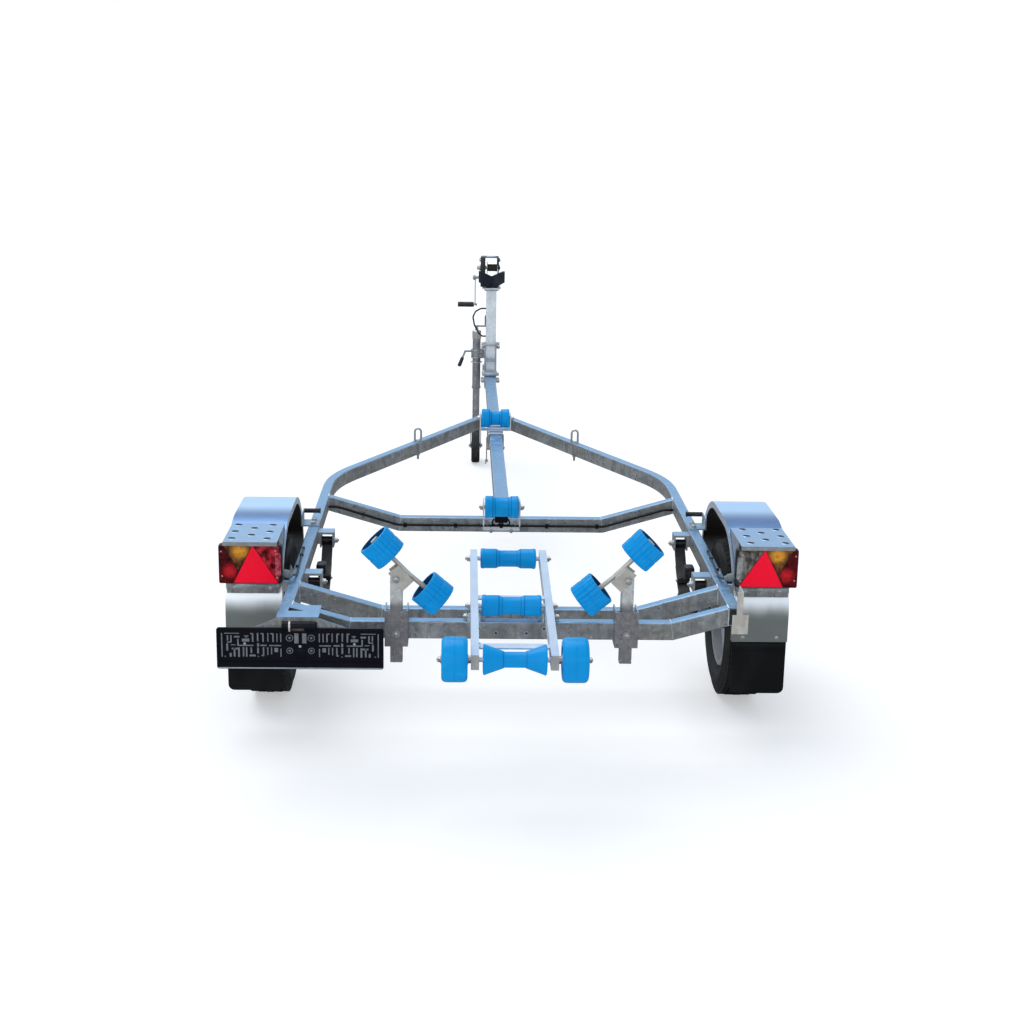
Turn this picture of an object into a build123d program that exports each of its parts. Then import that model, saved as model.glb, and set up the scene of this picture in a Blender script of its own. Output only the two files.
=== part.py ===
from build123d import *
from math import asin, atan2, cos, degrees, hypot, pi, sin, tan
import os

os.makedirs("parts", exist_ok=True)

# Boat trailer, millimetres. +Y points to the tow hitch, +X to the right of travel, Z = 0 is the ground.
# Along Y every place is measured forward from lamp_y, the rear face of the tail lamps.

# ---- overall driving dimensions ----
nose_reach = 4640.0          # lamp face to the front of the coupling
tail_reach = 694.0           # lamp face to the back of the rearmost wheels
frame_top = 550.0            # top of rails and drawbar above the ground
frame_half_width = 756.0     # centre line to the outer face of a rail
lamp_outer = 992.0           # centre line to the outer end of a lamp
lamp_y = (tail_reach - nose_reach) / 2

# ---- frame tubes ----
tube_w, tube_h, tube_wall = 40.0, 60.0, 3.0
tube_corner = 4.0
end_pocket = 50.0            # depth to which an open tube end is hollow
bend_radius = 750.0          # rail to arm
bend_y = lamp_y + 1592.0
arm_nose_y = lamp_y + 2955.0
arm_nose_half = 83.5         # outer face of an arm where it meets the drawbar
rail_tail_y = lamp_y - 242.0
drawbar_w = 60.0
drawbar_tail_y = lamp_y + 1212.0
drawbar_nose_y = lamp_y + 4500.0
rail_x = frame_half_width - tube_w / 2
rail_mid_z = frame_top - tube_h / 2
rail_inner = frame_half_width - tube_w

# ---- cross members: name, rear face ahead of the lamp face, half width of the low part, drop ----
cross_members = [
    ("front_cross_member", 1208.0, 418.0, 87.0),
    ("middle_cross_member", -18.0, 433.0, 83.0),
    ("rear_cross_member", -242.0, 528.0, 53.0),
]
front_cross_y, front_cross_drop = lamp_y + cross_members[0][1], cross_members[0][3]
rear_cross_y, rear_cross_drop = lamp_y + cross_members[2][1], cross_members[2][3]
rear_cross_top = frame_top - rear_cross_drop
rear_cross_bottom = rear_cross_top - tube_h

# ---- wheels and axle ----
wheel_y = lamp_y + 450.0
tyre_radius, tyre_width = 292.0, 160.0
wheel_x = 866.0
rim_seat_radius, rim_flange_radius, rim_width = 165.0, 182.0, 128.0
rim_sheet = 4.0
disc_offset = 22.0           # outer face of the disc beyond the wheel's middle
bead_gap = 0.2
hub_radius, hub_bore, hub_flange_radius, hub_flange = 52.0, 15.0, 68.0, 10.0
hub_length = 78.0
spindle_gap = 0.05
axle_size = 50.0
wheel_bolt_circle = 50.0

# ---- leaf springs ----
spring_inset = 54.0          # middle of a rail to the middle of the spring inboard of it
spring_x = rail_x - spring_inset
spring_half_span = 270.0
spring_eye_z = 500.0
leaf_width, leaf_thickness, leaf_count = 40.0, 8.0, 4
eye_radius, eye_bore = 15.0, 6.0
eye_pin_gap = 0.1

# ---- fenders, lamps, mudflaps ----
fender_tail_y, fender_length = lamp_y + 55.0, 790.0
fender_inner, fender_outer = 784.0, 980.0
fender_top, fender_bottom, fender_corner = 702.0, 330.0, 290.0
fender_sheet, fender_lip = 2.0, 25.0
lamp_width, lamp_height, lamp_depth = 216.0, 138.0, 48.0
lamp_bottom = 544.0
lamp_corner = 12.0
step_inner, step_outer, step_z, step_front = 790.0, 974.0, 696.0, 232.0
step_rear_overhang = 10.0
step_sheet = 2.5
step_hole_radius = 10.0
step_holes = [(829, 36), (949, 36), (888, 80), (829, 124), (949, 124), (888, 168), (829, 212), (949, 212)]
panel_bottom = 512.0
flap_inner, flap_outer, flap_bottom, flap_top = 787.0, 977.0, 138.0, 372.0
flap_thickness, flap_corner = 5.0, 22.0

# ---- number plate holder ----
plate_width, plate_height, plate_thickness = 533.0, 138.0, 8.0
plate_inner_x, plate_bottom = -413.0, 377.0
plate_y = lamp_y - 374.0
plate_mid_x = plate_inner_x - plate_width / 2

# ---- rollers: length, end radius, waist radius ----
keel_roller_length, keel_roller_radius = 138.0, 46.5
nose_roller_waist, keel_roller_waist = 34.0, 40.0
cradle_roller_length, cradle_roller_radius, cradle_roller_waist = 196.0, 36.0, 29.0
bow_roller_radius, bow_roller_waist = 48.0, 24.5
side_wheel_radius, side_wheel_width = 70.0, 80.0
roller_axle = 8.0            # radius of every roller axle
roller_gap = 0.3             # roller bore over its axle
nose_roller_y, nose_roller_z = lamp_y + 2600.0, frame_top + 58.0
keel_roller_y, keel_roller_z = lamp_y + 1150.0, 526.0

# ---- rear cradle ----
cradle_rail_w, cradle_rail_h = 25.0, 50.0
cradle_roller_room = 11.5    # end of a roller to the rail beside it
cradle_rail_x = cradle_roller_length / 2 + cradle_roller_room + cradle_rail_w / 2
cradle_pivot_y, cradle_pivot_z = lamp_y - 222.0, 509.0
cradle_front_y, cradle_front_z = lamp_y + 205.0, 583.0
cradle_rear_y, cradle_rear_z = lamp_y - 624.0, 505.0
cradle_pivot_radius = 6.0
pivot_boss = 11.0
cradle_lug = 6.0

# ---- side roller pairs ----
post_x, post_w = 376.0, 40.0
post_bottom = 369.0
pair_pivot_z = 654.0
pair_pin, pair_pin_gap = 6.0, 0.05
pair_roller_radius, pair_roller_length, pair_roller_wall = 59.0, 82.0, 9.0
pair_rod = 8.0

# ---- lashing eyes ----
lash_ahead, lash_bar, lash_rise, lash_half = 2315.0, 5.0, 56.0, 15.0

# ---- winch post, bow stop, winch ----
winch_post_y = lamp_y + 4196.0
winch_post_w, winch_post_top = 60.0, 1066.0
winch_y = winch_post_y + 62.0
winch_left, winch_right = -60.0, 39.0   # inner faces of the winch's cheeks
winch_cheek, winch_depth, winch_top = 4.0, 96.0, 1245.0
drum_z, crank_z = 1180.0, 1122.0
gear_radius, pinion_radius = 42.0, 15.0
drum_core, drum_full = 14.0, 27.0
shaft_radius = 8.0
crank_length, crank_grip = 160.0, 95.0

# ---- jockey wheel ----
jockey_x, jockey_y = -82.0, winch_post_y + 104.0
jockey_outer_radius, jockey_inner_radius = 24.0, 21.0
jockey_tube_bottom, jockey_tube_top = 452.0, 792.0
jockey_wheel_radius, jockey_wheel_width = 105.0, 50.0
jockey_trail = 32.0

# ---- lighting cable ----
cable_radius = 4.5
clip_half, clip_sheet = 7.0, 2.0

# ---- coupling ----
ball_socket_radius = 25.3


def save(builder, label):
    """Label a finished piece and write it as the node of that name."""
    builder.part.label = label
    export_step(builder.part, f"parts/{label}.step")


def mirrored(builder):
    """The left-hand twin of a right-hand piece."""
    with BuildPart() as twin:
        add(mirror(builder.part, about=Plane.YZ))
    return twin


def save_pair(builder, label):
    save(builder, label + "_right")
    save(mirrored(builder), label + "_left")


def save_both(builder, label):
    """Right and left twins in one node, as solids that don't touch."""
    with BuildPart() as both:
        add(builder.part)
        add(mirror(builder.part, about=Plane.YZ))
    save(both, label)


def cylinder_x(radius, x0, x1, y, z, mode=Mode.ADD):
    """A round bar along X between x0 and x1."""
    with Locations(((x0 + x1) / 2, y, z)):
        Cylinder(radius, abs(x1 - x0), rotation=(0, 90, 0), mode=mode)


def cylinder_y(radius, x, y0, y1, z, mode=Mode.ADD):
    """A round bar along Y between y0 and y1."""
    with Locations((x, (y0 + y1) / 2, z)):
        Cylinder(radius, abs(y1 - y0), rotation=(90, 0, 0), mode=mode)


def cylinder_z(radius, x, y, z0, z1, mode=Mode.ADD):
    """A round bar along Z between z0 and z1."""
    with Locations((x, y, (z0 + z1) / 2)):
        Cylinder(radius, abs(z1 - z0), mode=mode)


def block(x0, x1, y0, y1, z0, z1, mode=Mode.ADD):
    """A rectangular block between two corners."""
    with Locations(((x0 + x1) / 2, (y0 + y1) / 2, (z0 + z1) / 2)):
        Box(abs(x1 - x0), abs(y1 - y0), abs(z1 - z0), mode=mode)


def bar(radius, start, end):
    """A round bar between two points."""
    with BuildSketch(Plane(origin=start, z_dir=end - start)) as section:
        Circle(radius)
    extrude(section.sketch, amount=(end - start).length)


# ================= frame =================

# Side rail: a straight tube that bends into the arm of the V and is cut against the drawbar's side.
arm_angle = atan2(frame_half_width - arm_nose_half, arm_nose_y - bend_y)
arm_end_x = drawbar_w / 2 - 12
arm_nose_x = arm_nose_half - tube_w / 2 / cos(arm_angle)
arm_end_y = arm_nose_y + (arm_nose_x - arm_end_x) / tan(arm_angle)
lash_y = lamp_y + lash_ahead
lash_x = rail_x - (lash_y - bend_y) * (rail_x - arm_end_x) / (arm_end_y - bend_y)
with BuildPart() as side_rail:
    with BuildLine() as rail_path:
        FilletPolyline(
            (rail_x, rail_tail_y, rail_mid_z),
            (rail_x, bend_y, rail_mid_z),
            (arm_end_x, arm_end_y, rail_mid_z),
            radius=bend_radius,
        )
    with BuildSketch(Plane((rail_x, rail_tail_y, rail_mid_z), x_dir=(1, 0, 0), z_dir=(0, 1, 0))):
        RectangleRounded(tube_w, tube_h, tube_corner)
    sweep(path=rail_path.line)
    block(-drawbar_w, drawbar_w / 2, arm_nose_y - 100, arm_end_y + 100, 0, frame_top + 50, Mode.SUBTRACT)
    block(rail_inner + tube_wall, frame_half_width - tube_wall, rail_tail_y, rail_tail_y + end_pocket,
          frame_top - tube_h + tube_wall, frame_top - tube_wall, Mode.SUBTRACT)
    cylinder_z(lash_bar + 0.2, lash_x, lash_y, 0, frame_top + 10, Mode.SUBTRACT)
save_pair(side_rail, "side_rail")

# Drawbar: square tube on a short foot on the front cross member, open at its rear end.
drawbar_bottom = frame_top - drawbar_w
with BuildPart() as drawbar:
    with BuildSketch(Plane((0, drawbar_tail_y, frame_top - drawbar_w / 2), x_dir=(1, 0, 0), z_dir=(0, 1, 0))):
        RectangleRounded(drawbar_w, drawbar_w, tube_corner)
    extrude(amount=drawbar_nose_y - drawbar_tail_y)
    block(-drawbar_w / 2 + tube_wall, drawbar_w / 2 - tube_wall, drawbar_tail_y, drawbar_tail_y + end_pocket,
          drawbar_bottom + tube_wall, frame_top - tube_wall, Mode.SUBTRACT)
    block(-drawbar_w / 2, drawbar_w / 2, drawbar_tail_y, front_cross_y + tube_w,
          frame_top - front_cross_drop, drawbar_bottom)
save(drawbar, "drawbar")

# Cross members: flush with the rails at their ends and dropped in the middle, mitred at each bend.
for label, ahead, low_half, drop in cross_members:
    slope = atan2(drop, rail_inner - low_half)
    inner_half = low_half + tube_h * tan(slope / 2)
    end_drop = tube_h / cos(slope)
    low_top = frame_top - drop
    outline = [
        (-rail_inner, frame_top), (-low_half, low_top), (low_half, low_top), (rail_inner, frame_top),
        (rail_inner, frame_top - end_drop), (inner_half, low_top - tube_h),
        (-inner_half, low_top - tube_h), (-rail_inner, frame_top - end_drop),
    ]
    member_plane = Plane((0, lamp_y + ahead, 0), x_dir=(1, 0, 0), z_dir=(0, -1, 0))
    with BuildPart() as cross_member:
        with BuildSketch(member_plane):
            with BuildLine():
                Polyline(*outline, close=True)
            make_face()
        extrude(amount=-tube_w)
        long_edges = cross_member.edges().filter_by(Axis.Y, reverse=True).filter_by(Axis.Z, reverse=True)
        fillet(long_edges, tube_corner)
    save(cross_member, label)

# ================= axle and springs =================

# Axle: a straight square tube, spring seats with U-bolts, and a stub for each hub.
hub_inner_x = wheel_x + disc_offset - rim_sheet - hub_length
stub_end_x = wheel_x + disc_offset + 22
spring_seat_z = tyre_radius + axle_size / 2
seat_plate = 8.0
with BuildPart() as axle:
    block(-hub_inner_x + 6, hub_inner_x - 6, wheel_y - axle_size / 2, wheel_y + axle_size / 2,
          tyre_radius - axle_size / 2, tyre_radius + axle_size / 2)
    fillet(axle.edges().filter_by(Axis.X), tube_corner)
    for side in (-1, 1):
        cylinder_x(26, side * (hub_inner_x - 7), side * (hub_inner_x - 1), wheel_y, tyre_radius)
        cylinder_x(hub_bore, side * (hub_inner_x - 2), side * stub_end_x, wheel_y, tyre_radius)
        x0, x1 = side * (spring_x - 45), side * (spring_x + 45)
        block(x0, x1, wheel_y - 50, wheel_y + 50, spring_seat_z, spring_seat_z + seat_plate)
save(axle, "axle")

# Leaf spring: stacked leaves on one arc; the main leaf ends in an eye at each hanger.
pack_bottom = spring_seat_z + seat_plate
main_leaf_z = pack_bottom + leaf_count * leaf_thickness - leaf_thickness / 2
sag = spring_eye_z - eye_radius - main_leaf_z
leaf_radius = (spring_half_span ** 2 + sag ** 2) / (2 * sag)
leaf_plane = Plane((spring_x, wheel_y, main_leaf_z), x_dir=(0, 1, 0), z_dir=(1, 0, 0))
with BuildPart() as leaf_spring:
    for leaf in range(leaf_count):
        reach = spring_half_span * (1 - 0.2 * leaf)
        radius = leaf_radius + leaf * leaf_thickness
        half_angle = degrees(asin(reach / leaf_radius))
        with BuildSketch(leaf_plane):
            with BuildLine():
                CenterArc((0, leaf_radius), radius + leaf_thickness / 2, 270 - half_angle, 2 * half_angle)
                CenterArc((0, leaf_radius), radius - leaf_thickness / 2, 270 - half_angle, 2 * half_angle)
                for turn in (-half_angle, half_angle):
                    across = Vector(0, -1).rotate(Axis.Z, turn)
                    centre = Vector(0, leaf_radius)
                    Line(centre + across * (radius - leaf_thickness / 2),
                         centre + across * (radius + leaf_thickness / 2))
            make_face()
        extrude(amount=leaf_width / 2, both=True)
    for end in (-1, 1):
        eye_y = wheel_y + end * spring_half_span
        cylinder_x(eye_radius, spring_x - leaf_width / 2, spring_x + leaf_width / 2, eye_y, spring_eye_z)
    for end in (-1, 1):
        eye_y = wheel_y + end * spring_half_span
        cylinder_x(eye_bore + eye_pin_gap, spring_x - leaf_width, spring_x + leaf_width, eye_y,
                   spring_eye_z, Mode.SUBTRACT)
    clamp_half = leaf_width / 2 + 6
    top_of_pack = main_leaf_z + leaf_thickness / 2
    for fore in (-28, 28):
        block(spring_x - clamp_half, spring_x + clamp_half, wheel_y + fore - 7, wheel_y + fore + 7,
              top_of_pack, top_of_pack + 12)
        for across in (-1, 1):
            leg_x = spring_x + across * (leaf_width / 2 + 8)
            block(leg_x - 6, leg_x + 6, wheel_y + fore - 7, wheel_y + fore + 7, pack_bottom, top_of_pack + 12)
save_both(leaf_spring, "leaf_springs")

# Hangers: two cheeks and a pin at each spring eye, bolted through a spacer to the rail's inner face.
cheek = 6.0
hanger_gap = 1.0
with BuildPart() as hanger:
    for end in (-1, 1):
        eye_y = wheel_y + end * spring_half_span
        for across in (-1, 1):
            cheek_mid = spring_x + across * (leaf_width / 2 + hanger_gap + cheek / 2)
            block(cheek_mid - cheek / 2, cheek_mid + cheek / 2, eye_y - 30, eye_y + 30,
                  spring_eye_z - 22, frame_top - 12)
        block(spring_x - leaf_width / 2 - hanger_gap - cheek, rail_inner, eye_y - 30, eye_y + 30,
              frame_top - 20, frame_top - 12)
        block(spring_x + leaf_width / 2 + hanger_gap, rail_inner, eye_y - 30, eye_y + 30,
              frame_top - tube_h + 2, frame_top - 12)
        cylinder_x(eye_bore, spring_x - leaf_width / 2 - 14, spring_x + leaf_width / 2 + 14, eye_y, spring_eye_z)
        cylinder_x(10, spring_x - leaf_width / 2 - 16, spring_x - leaf_width / 2 - 8, eye_y, spring_eye_z)
save_both(hanger, "spring_hangers")

# ================= road wheels =================

# Everything on a wheel is turned about the wheel's own axis, drawn as radius against distance outward.
wheel_plane = Plane((wheel_x, wheel_y, tyre_radius), x_dir=(1, 0, 0), z_dir=(0, -1, 0))
wheel_axis = Axis((wheel_x, wheel_y, tyre_radius), (1, 0, 0))
half_rim = rim_width / 2
well = 14.0
with BuildPart() as rim:
    with BuildSketch(wheel_plane):
        with BuildLine():
            Polyline(
                (-half_rim, rim_flange_radius), (-half_rim + 10, rim_flange_radius),
                (-half_rim + 10, rim_seat_radius), (-half_rim + 34, rim_seat_radius),
                (-half_rim + 44, rim_seat_radius - well), (half_rim - 44, rim_seat_radius - well),
                (half_rim - 34, rim_seat_radius), (half_rim - 10, rim_seat_radius),
                (half_rim - 10, rim_flange_radius), (half_rim, rim_flange_radius),
                (half_rim, rim_seat_radius - rim_sheet), (half_rim - 34, rim_seat_radius - rim_sheet),
                (half_rim - 44, rim_seat_radius - well - rim_sheet),
                (disc_offset, rim_seat_radius - well - rim_sheet), (disc_offset + 14, 118), (disc_offset + 14, 96),
                (disc_offset, 76), (disc_offset, 30), (disc_offset - rim_sheet, 30),
                (disc_offset - rim_sheet, 78), (disc_offset + 10, 98), (disc_offset + 10, 116),
                (disc_offset - 6, rim_seat_radius - well - rim_sheet),
                (-half_rim + 44, rim_seat_radius - well - rim_sheet),
                (-half_rim + 34, rim_seat_radius - rim_sheet), (-half_rim, rim_seat_radius - rim_sheet),
                close=True)
        make_face()
    revolve(axis=wheel_axis)
    hole_plane = Plane((wheel_x, wheel_y, tyre_radius), x_dir=(0, 1, 0), z_dir=(1, 0, 0))
    with BuildSketch(hole_plane):
        with PolarLocations(107, 8):
            SlotOverall(34, 16, rotation=90)
        with PolarLocations(wheel_bolt_circle, 4, start_angle=45):
            Circle(7)
    extrude(amount=80, mode=Mode.SUBTRACT)
save_pair(rim, "rim")

# Tyre: squared shoulders, bulged walls and a bead on each seat; the tread pattern isn't cut here.
half_tyre = tyre_width / 2
bead_radius = rim_seat_radius + bead_gap
bead_x = rim_width / 2 - 10 - bead_gap
inner_crown, outer_crown = half_tyre - 34, half_tyre - 20


def up_wall(share):
    """The radius at this share of the tyre's depth above the rim's flange."""
    return rim_flange_radius + share * (tyre_radius - rim_flange_radius)


inner_shoulder = up_wall(94 / 110)
with BuildPart() as tyre:
    with BuildSketch(wheel_plane):
        with BuildLine():
            Polyline((bead_x, rim_flange_radius + 4), (bead_x, bead_radius), (bead_x - 16, bead_radius),
                     (bead_x - 12, rim_flange_radius + 8))
            ThreePointArc((bead_x - 12, rim_flange_radius + 8), (half_tyre - 12, up_wall(46 / 110)),
                          (inner_crown, inner_shoulder))
            Line((inner_crown, inner_shoulder), (-inner_crown, inner_shoulder))
            ThreePointArc((-inner_crown, inner_shoulder), (-half_tyre + 12, up_wall(46 / 110)),
                          (-bead_x + 12, rim_flange_radius + 8))
            Polyline((-bead_x + 12, rim_flange_radius + 8), (-bead_x + 16, bead_radius),
                     (-bead_x, bead_radius), (-bead_x, rim_flange_radius + 4))
            ThreePointArc((-bead_x, rim_flange_radius + 4), (-half_tyre, up_wall(0.4)),
                          (-half_tyre + 8, up_wall(0.8)))
            ThreePointArc((-half_tyre + 8, up_wall(0.8)), (-half_tyre + 12, up_wall(98 / 110)),
                          (-outer_crown, tyre_radius - 6))
            ThreePointArc((-outer_crown, tyre_radius - 6), (0, tyre_radius), (outer_crown, tyre_radius - 6))
            ThreePointArc((outer_crown, tyre_radius - 6), (half_tyre - 12, up_wall(98 / 110)),
                          (half_tyre - 8, up_wall(0.8)))
            ThreePointArc((half_tyre - 8, up_wall(0.8)), (half_tyre, up_wall(0.4)), (bead_x, rim_flange_radius + 4))
        make_face()
    revolve(axis=wheel_axis)
save_pair(tyre, "tyre")

# Hub: flange against the disc, barrel over the axle stub, and a cap that closes its outer end.
flange_x = wheel_x + disc_offset - rim_sheet
with BuildPart() as hub:
    cylinder_x(hub_radius - 8, hub_inner_x, flange_x, wheel_y, tyre_radius)
    cylinder_x(hub_flange_radius, flange_x - hub_flange, flange_x, wheel_y, tyre_radius)
    cylinder_x(29, flange_x, flange_x + 44, wheel_y, tyre_radius)
    fillet(hub.faces().sort_by(Axis.X)[-1].edges(), 8)
    cylinder_x(hub_bore + spindle_gap, hub_inner_x, stub_end_x + 2, wheel_y, tyre_radius, Mode.SUBTRACT)
    bolt_plane = Plane((flange_x, wheel_y, tyre_radius), x_dir=(0, 1, 0), z_dir=(1, 0, 0))
    with BuildSketch(bolt_plane):
        with PolarLocations(wheel_bolt_circle, 4, start_angle=45):
            Circle(6)
    extrude(amount=rim_sheet + 4)
    with BuildSketch(bolt_plane.offset(rim_sheet + 0.2)):
        with PolarLocations(wheel_bolt_circle, 4, start_angle=45):
            RegularPolygon(10, 6)
    extrude(amount=13)
save_pair(hub, "hub")

# ================= fenders, lamps and flaps =================

fender_front_y = fender_tail_y + fender_length
fender_mid_y = (fender_tail_y + fender_front_y) / 2
fender_plane = Plane((fender_inner, fender_mid_y, 0), x_dir=(0, 1, 0), z_dir=(1, 0, 0))


def fender_outline(inset):
    """Arched side outline of a fender, shrunk by inset, open at the bottom."""
    half = fender_length / 2 - inset
    top = fender_top - inset
    corner = fender_corner - inset
    arc_z = top - corner
    with BuildLine() as outline:
        Line((-half, fender_bottom), (-half, arc_z))
        CenterArc((-half + corner, arc_z), corner, 90, 90)
        Line((-half + corner, top), (half - corner, top))
        CenterArc((half - corner, arc_z), corner, 0, 90)
        Line((half, arc_z), (half, fender_bottom))
        Line((half, fender_bottom), (-half, fender_bottom))
    make_face(outline.line.edges())


# Fender: a folded arch with a lip down each side.
with BuildPart() as fender:
    with BuildSketch(fender_plane):
        fender_outline(0)
    extrude(amount=fender_outer - fender_inner)
    with BuildSketch(fender_plane.offset(fender_sheet)):
        fender_outline(fender_sheet)
    extrude(amount=fender_outer - fender_inner - 2 * fender_sheet, mode=Mode.SUBTRACT)
    with BuildSketch(fender_plane.offset(-1)):
        fender_outline(fender_lip)
    extrude(amount=fender_outer - fender_inner + 2, mode=Mode.SUBTRACT)
save_pair(fender, "fender")

# Lamp bracket: step plate over a back panel, its foot riveted to the fender's rear face.
panel_y = lamp_y + lamp_depth
with BuildPart() as lamp_bracket:
    block(step_inner, step_outer, lamp_y - step_rear_overhang, lamp_y + step_front, step_z - step_sheet, step_z)
    block(step_inner, step_outer, lamp_y - step_rear_overhang, lamp_y - step_rear_overhang + step_sheet,
          step_z - 14, step_z)
    block(step_inner, step_outer, panel_y, panel_y + step_sheet, panel_bottom, step_z)
    for edge_x in (step_inner, step_outer - step_sheet):
        with BuildSketch(Plane((edge_x, 0, 0), x_dir=(0, 1, 0), z_dir=(1, 0, 0))):
            with BuildLine():
                Polyline((panel_y, step_z - 136), (panel_y, step_z - 1), (lamp_y + step_front - 4, step_z - 1),
                         close=True)
            make_face()
        extrude(amount=step_sheet)
    block(step_inner, step_outer, panel_y, fender_tail_y + 60, panel_bottom, panel_bottom + 28)
    block(step_inner, step_outer, lamp_y + step_front - step_sheet, lamp_y + step_front, step_z - 40, step_z)
    with BuildSketch(fender_plane):
        fender_outline(0)
    extrude(amount=fender_outer - fender_inner, mode=Mode.SUBTRACT)
    step_top = Plane((0, 0, step_z - 10))
    with BuildSketch(step_top):
        with Locations([(across, lamp_y + ahead) for across, ahead in step_holes]):
            Circle(step_hole_radius)
    extrude(amount=20, mode=Mode.SUBTRACT)
save_both(lamp_bracket, "lamp_brackets")

# Tail lamp: dark housing behind a rounded lens.
with BuildPart() as tail_lamp:
    lamp_plane = Plane((lamp_outer - lamp_width / 2, lamp_y, lamp_bottom + lamp_height / 2),
                       x_dir=(1, 0, 0), z_dir=(0, -1, 0))
    with BuildSketch(lamp_plane):
        RectangleRounded(lamp_width, lamp_height, lamp_corner)
    extrude(amount=-lamp_depth + 10)
    fillet(tail_lamp.faces().sort_by(Axis.Y)[0].edges(), 5)
    with BuildSketch(lamp_plane.offset(-lamp_depth + 10)):
        RectangleRounded(lamp_width - 16, lamp_height - 16, lamp_corner)
    extrude(amount=-10)
save_both(tail_lamp, "tail_lamps")

# Mudflap: rubber sheet hung inside the fender's rear edge.
with BuildPart() as mudflap:
    flap_y = fender_tail_y + fender_sheet
    with BuildSketch(Plane((0, flap_y, 0), x_dir=(1, 0, 0), z_dir=(0, -1, 0))):
        with Locations(((flap_inner + flap_outer) / 2, (flap_bottom + flap_top) / 2)):
            RectangleRounded(flap_outer - flap_inner, flap_top - flap_bottom, flap_corner)
    extrude(amount=-flap_thickness)
save_both(mudflap, "mudflaps")

# Fender brackets: an angle from the rail's top to the arch in front, and a strut from the rail behind.
front_bracket_y = fender_front_y - 70
with BuildPart() as fender_bracket:
    block(rail_x - 18, fender_inner, front_bracket_y - 45, front_bracket_y + 45, frame_top, frame_top + 5)
    block(fender_inner - 5, fender_inner, front_bracket_y - 45, front_bracket_y + 45, frame_top, frame_top + 46)
    block(frame_half_width, fender_inner, fender_tail_y + 4, fender_tail_y + 22, frame_top - 50, frame_top - 14)
    block(fender_inner - 5, fender_inner, fender_tail_y + 3, fender_tail_y + 24, frame_top - 90, frame_top + 6)
save_both(fender_bracket, "fender_brackets")

# Number plate holder on its bracket from the rear cross member, with a lamp above it.
with BuildPart() as plate_holder:
    holder_plane = Plane((plate_mid_x, plate_y, plate_bottom + plate_height / 2),
                         x_dir=(1, 0, 0), z_dir=(0, -1, 0))
    with BuildSketch(holder_plane):
        RectangleRounded(plate_width, plate_height, 8)
    extrude(amount=-plate_thickness)
    with BuildSketch(holder_plane.offset(-2.5)):
        with Locations((0, 9)):
            Rectangle(plate_width - 12, plate_height - 30)
    extrude(amount=10, mode=Mode.SUBTRACT)
save(plate_holder, "plate_holder")

# Bracket: plate level with the rail's top with a drain opening, two webs, and a spread sheet to the holder.
bracket_left, bracket_right = -frame_half_width, 95.0 - rail_inner
holder_front = plate_y + plate_thickness
bracket_sheet, web_low, spread_half, spread_low, spread_knee = 4.0, 76.0, 144.0, 460.0, 516.0
bracket_under = frame_top - bracket_sheet
drain_x, drain_y = bracket_left + 32.0, rear_cross_y - 22.0
drain_run, drain_reach = 52.0, 37.0
with BuildPart() as plate_bracket:
    block(bracket_left, bracket_right, holder_front, rear_cross_y, bracket_under, frame_top)
    with BuildSketch(Plane((0, 0, bracket_under - 1))):
        with BuildLine():
            Polyline((drain_x, drain_y), (drain_x, drain_y - drain_reach),
                     (drain_x + drain_run, drain_y - drain_reach), close=True)
        make_face()
    extrude(amount=bracket_sheet + 2, mode=Mode.SUBTRACT)
    with BuildSketch(Plane((0, holder_front, 0), x_dir=(1, 0, 0), z_dir=(0, -1, 0))):
        with BuildLine():
            Polyline((plate_mid_x - spread_half, spread_low), (plate_mid_x - spread_half, spread_knee),
                     (bracket_left, bracket_under), (bracket_right, bracket_under),
                     (plate_mid_x + spread_half, spread_knee), (plate_mid_x + spread_half, spread_low),
                     close=True)
        make_face()
    extrude(amount=-bracket_sheet)
    for web_x in (bracket_left, bracket_right - 20):
        with BuildSketch(Plane((web_x, 0, 0), x_dir=(0, 1, 0), z_dir=(1, 0, 0))):
            with BuildLine():
                Polyline((holder_front, bracket_under), (rear_cross_y, bracket_under),
                         (rear_cross_y, frame_top - tube_h), (holder_front, frame_top - web_low), close=True)
            make_face()
        extrude(amount=bracket_sheet)
save(plate_bracket, "plate_bracket")

# Plate lamp: a round hood that rests on the holder's top edge against the bracket's sheet.
hood_left, hood_right, hood_radius, hood_z = -737.0, -625.0, 16.0, 521.0
with BuildPart() as plate_lamp:
    cylinder_x(hood_radius, hood_left, hood_right, plate_y + 2, hood_z)
    block(hood_left - 1, hood_right + 1, holder_front, holder_front + hood_radius, hood_z - hood_radius,
          hood_z + hood_radius, Mode.SUBTRACT)
    block(hood_left - 1, hood_right + 1, plate_y, holder_front + 1, hood_z - hood_radius,
          plate_bottom + plate_height, Mode.SUBTRACT)
save(plate_lamp, "plate_lamp")

# Corner bracket: plate over the right rail's end with an upright behind the lamp.
corner_sheet, corner_fold, corner_reach = 4.0, 5.0, 60.0
tab_inner, tab_outer, tab_low, tab_top = rail_x - 8, rail_x + 46, frame_top - 88, frame_top - 22
strip_inner, strip_outer, strip_top = rail_x + 6, rail_x + 26, frame_top + 58
with BuildPart() as corner_bracket:
    block(tab_inner, tab_outer, rail_tail_y - corner_sheet, rail_tail_y, tab_low, tab_top)
    block(strip_inner, strip_outer, rail_tail_y - corner_sheet, rail_tail_y, tab_top, strip_top)
    block(strip_outer - corner_fold, strip_outer, rail_tail_y, rail_tail_y + corner_reach, frame_top - tube_h,
          strip_top)
save(corner_bracket, "corner_bracket")

# ================= keel rollers =================


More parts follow.
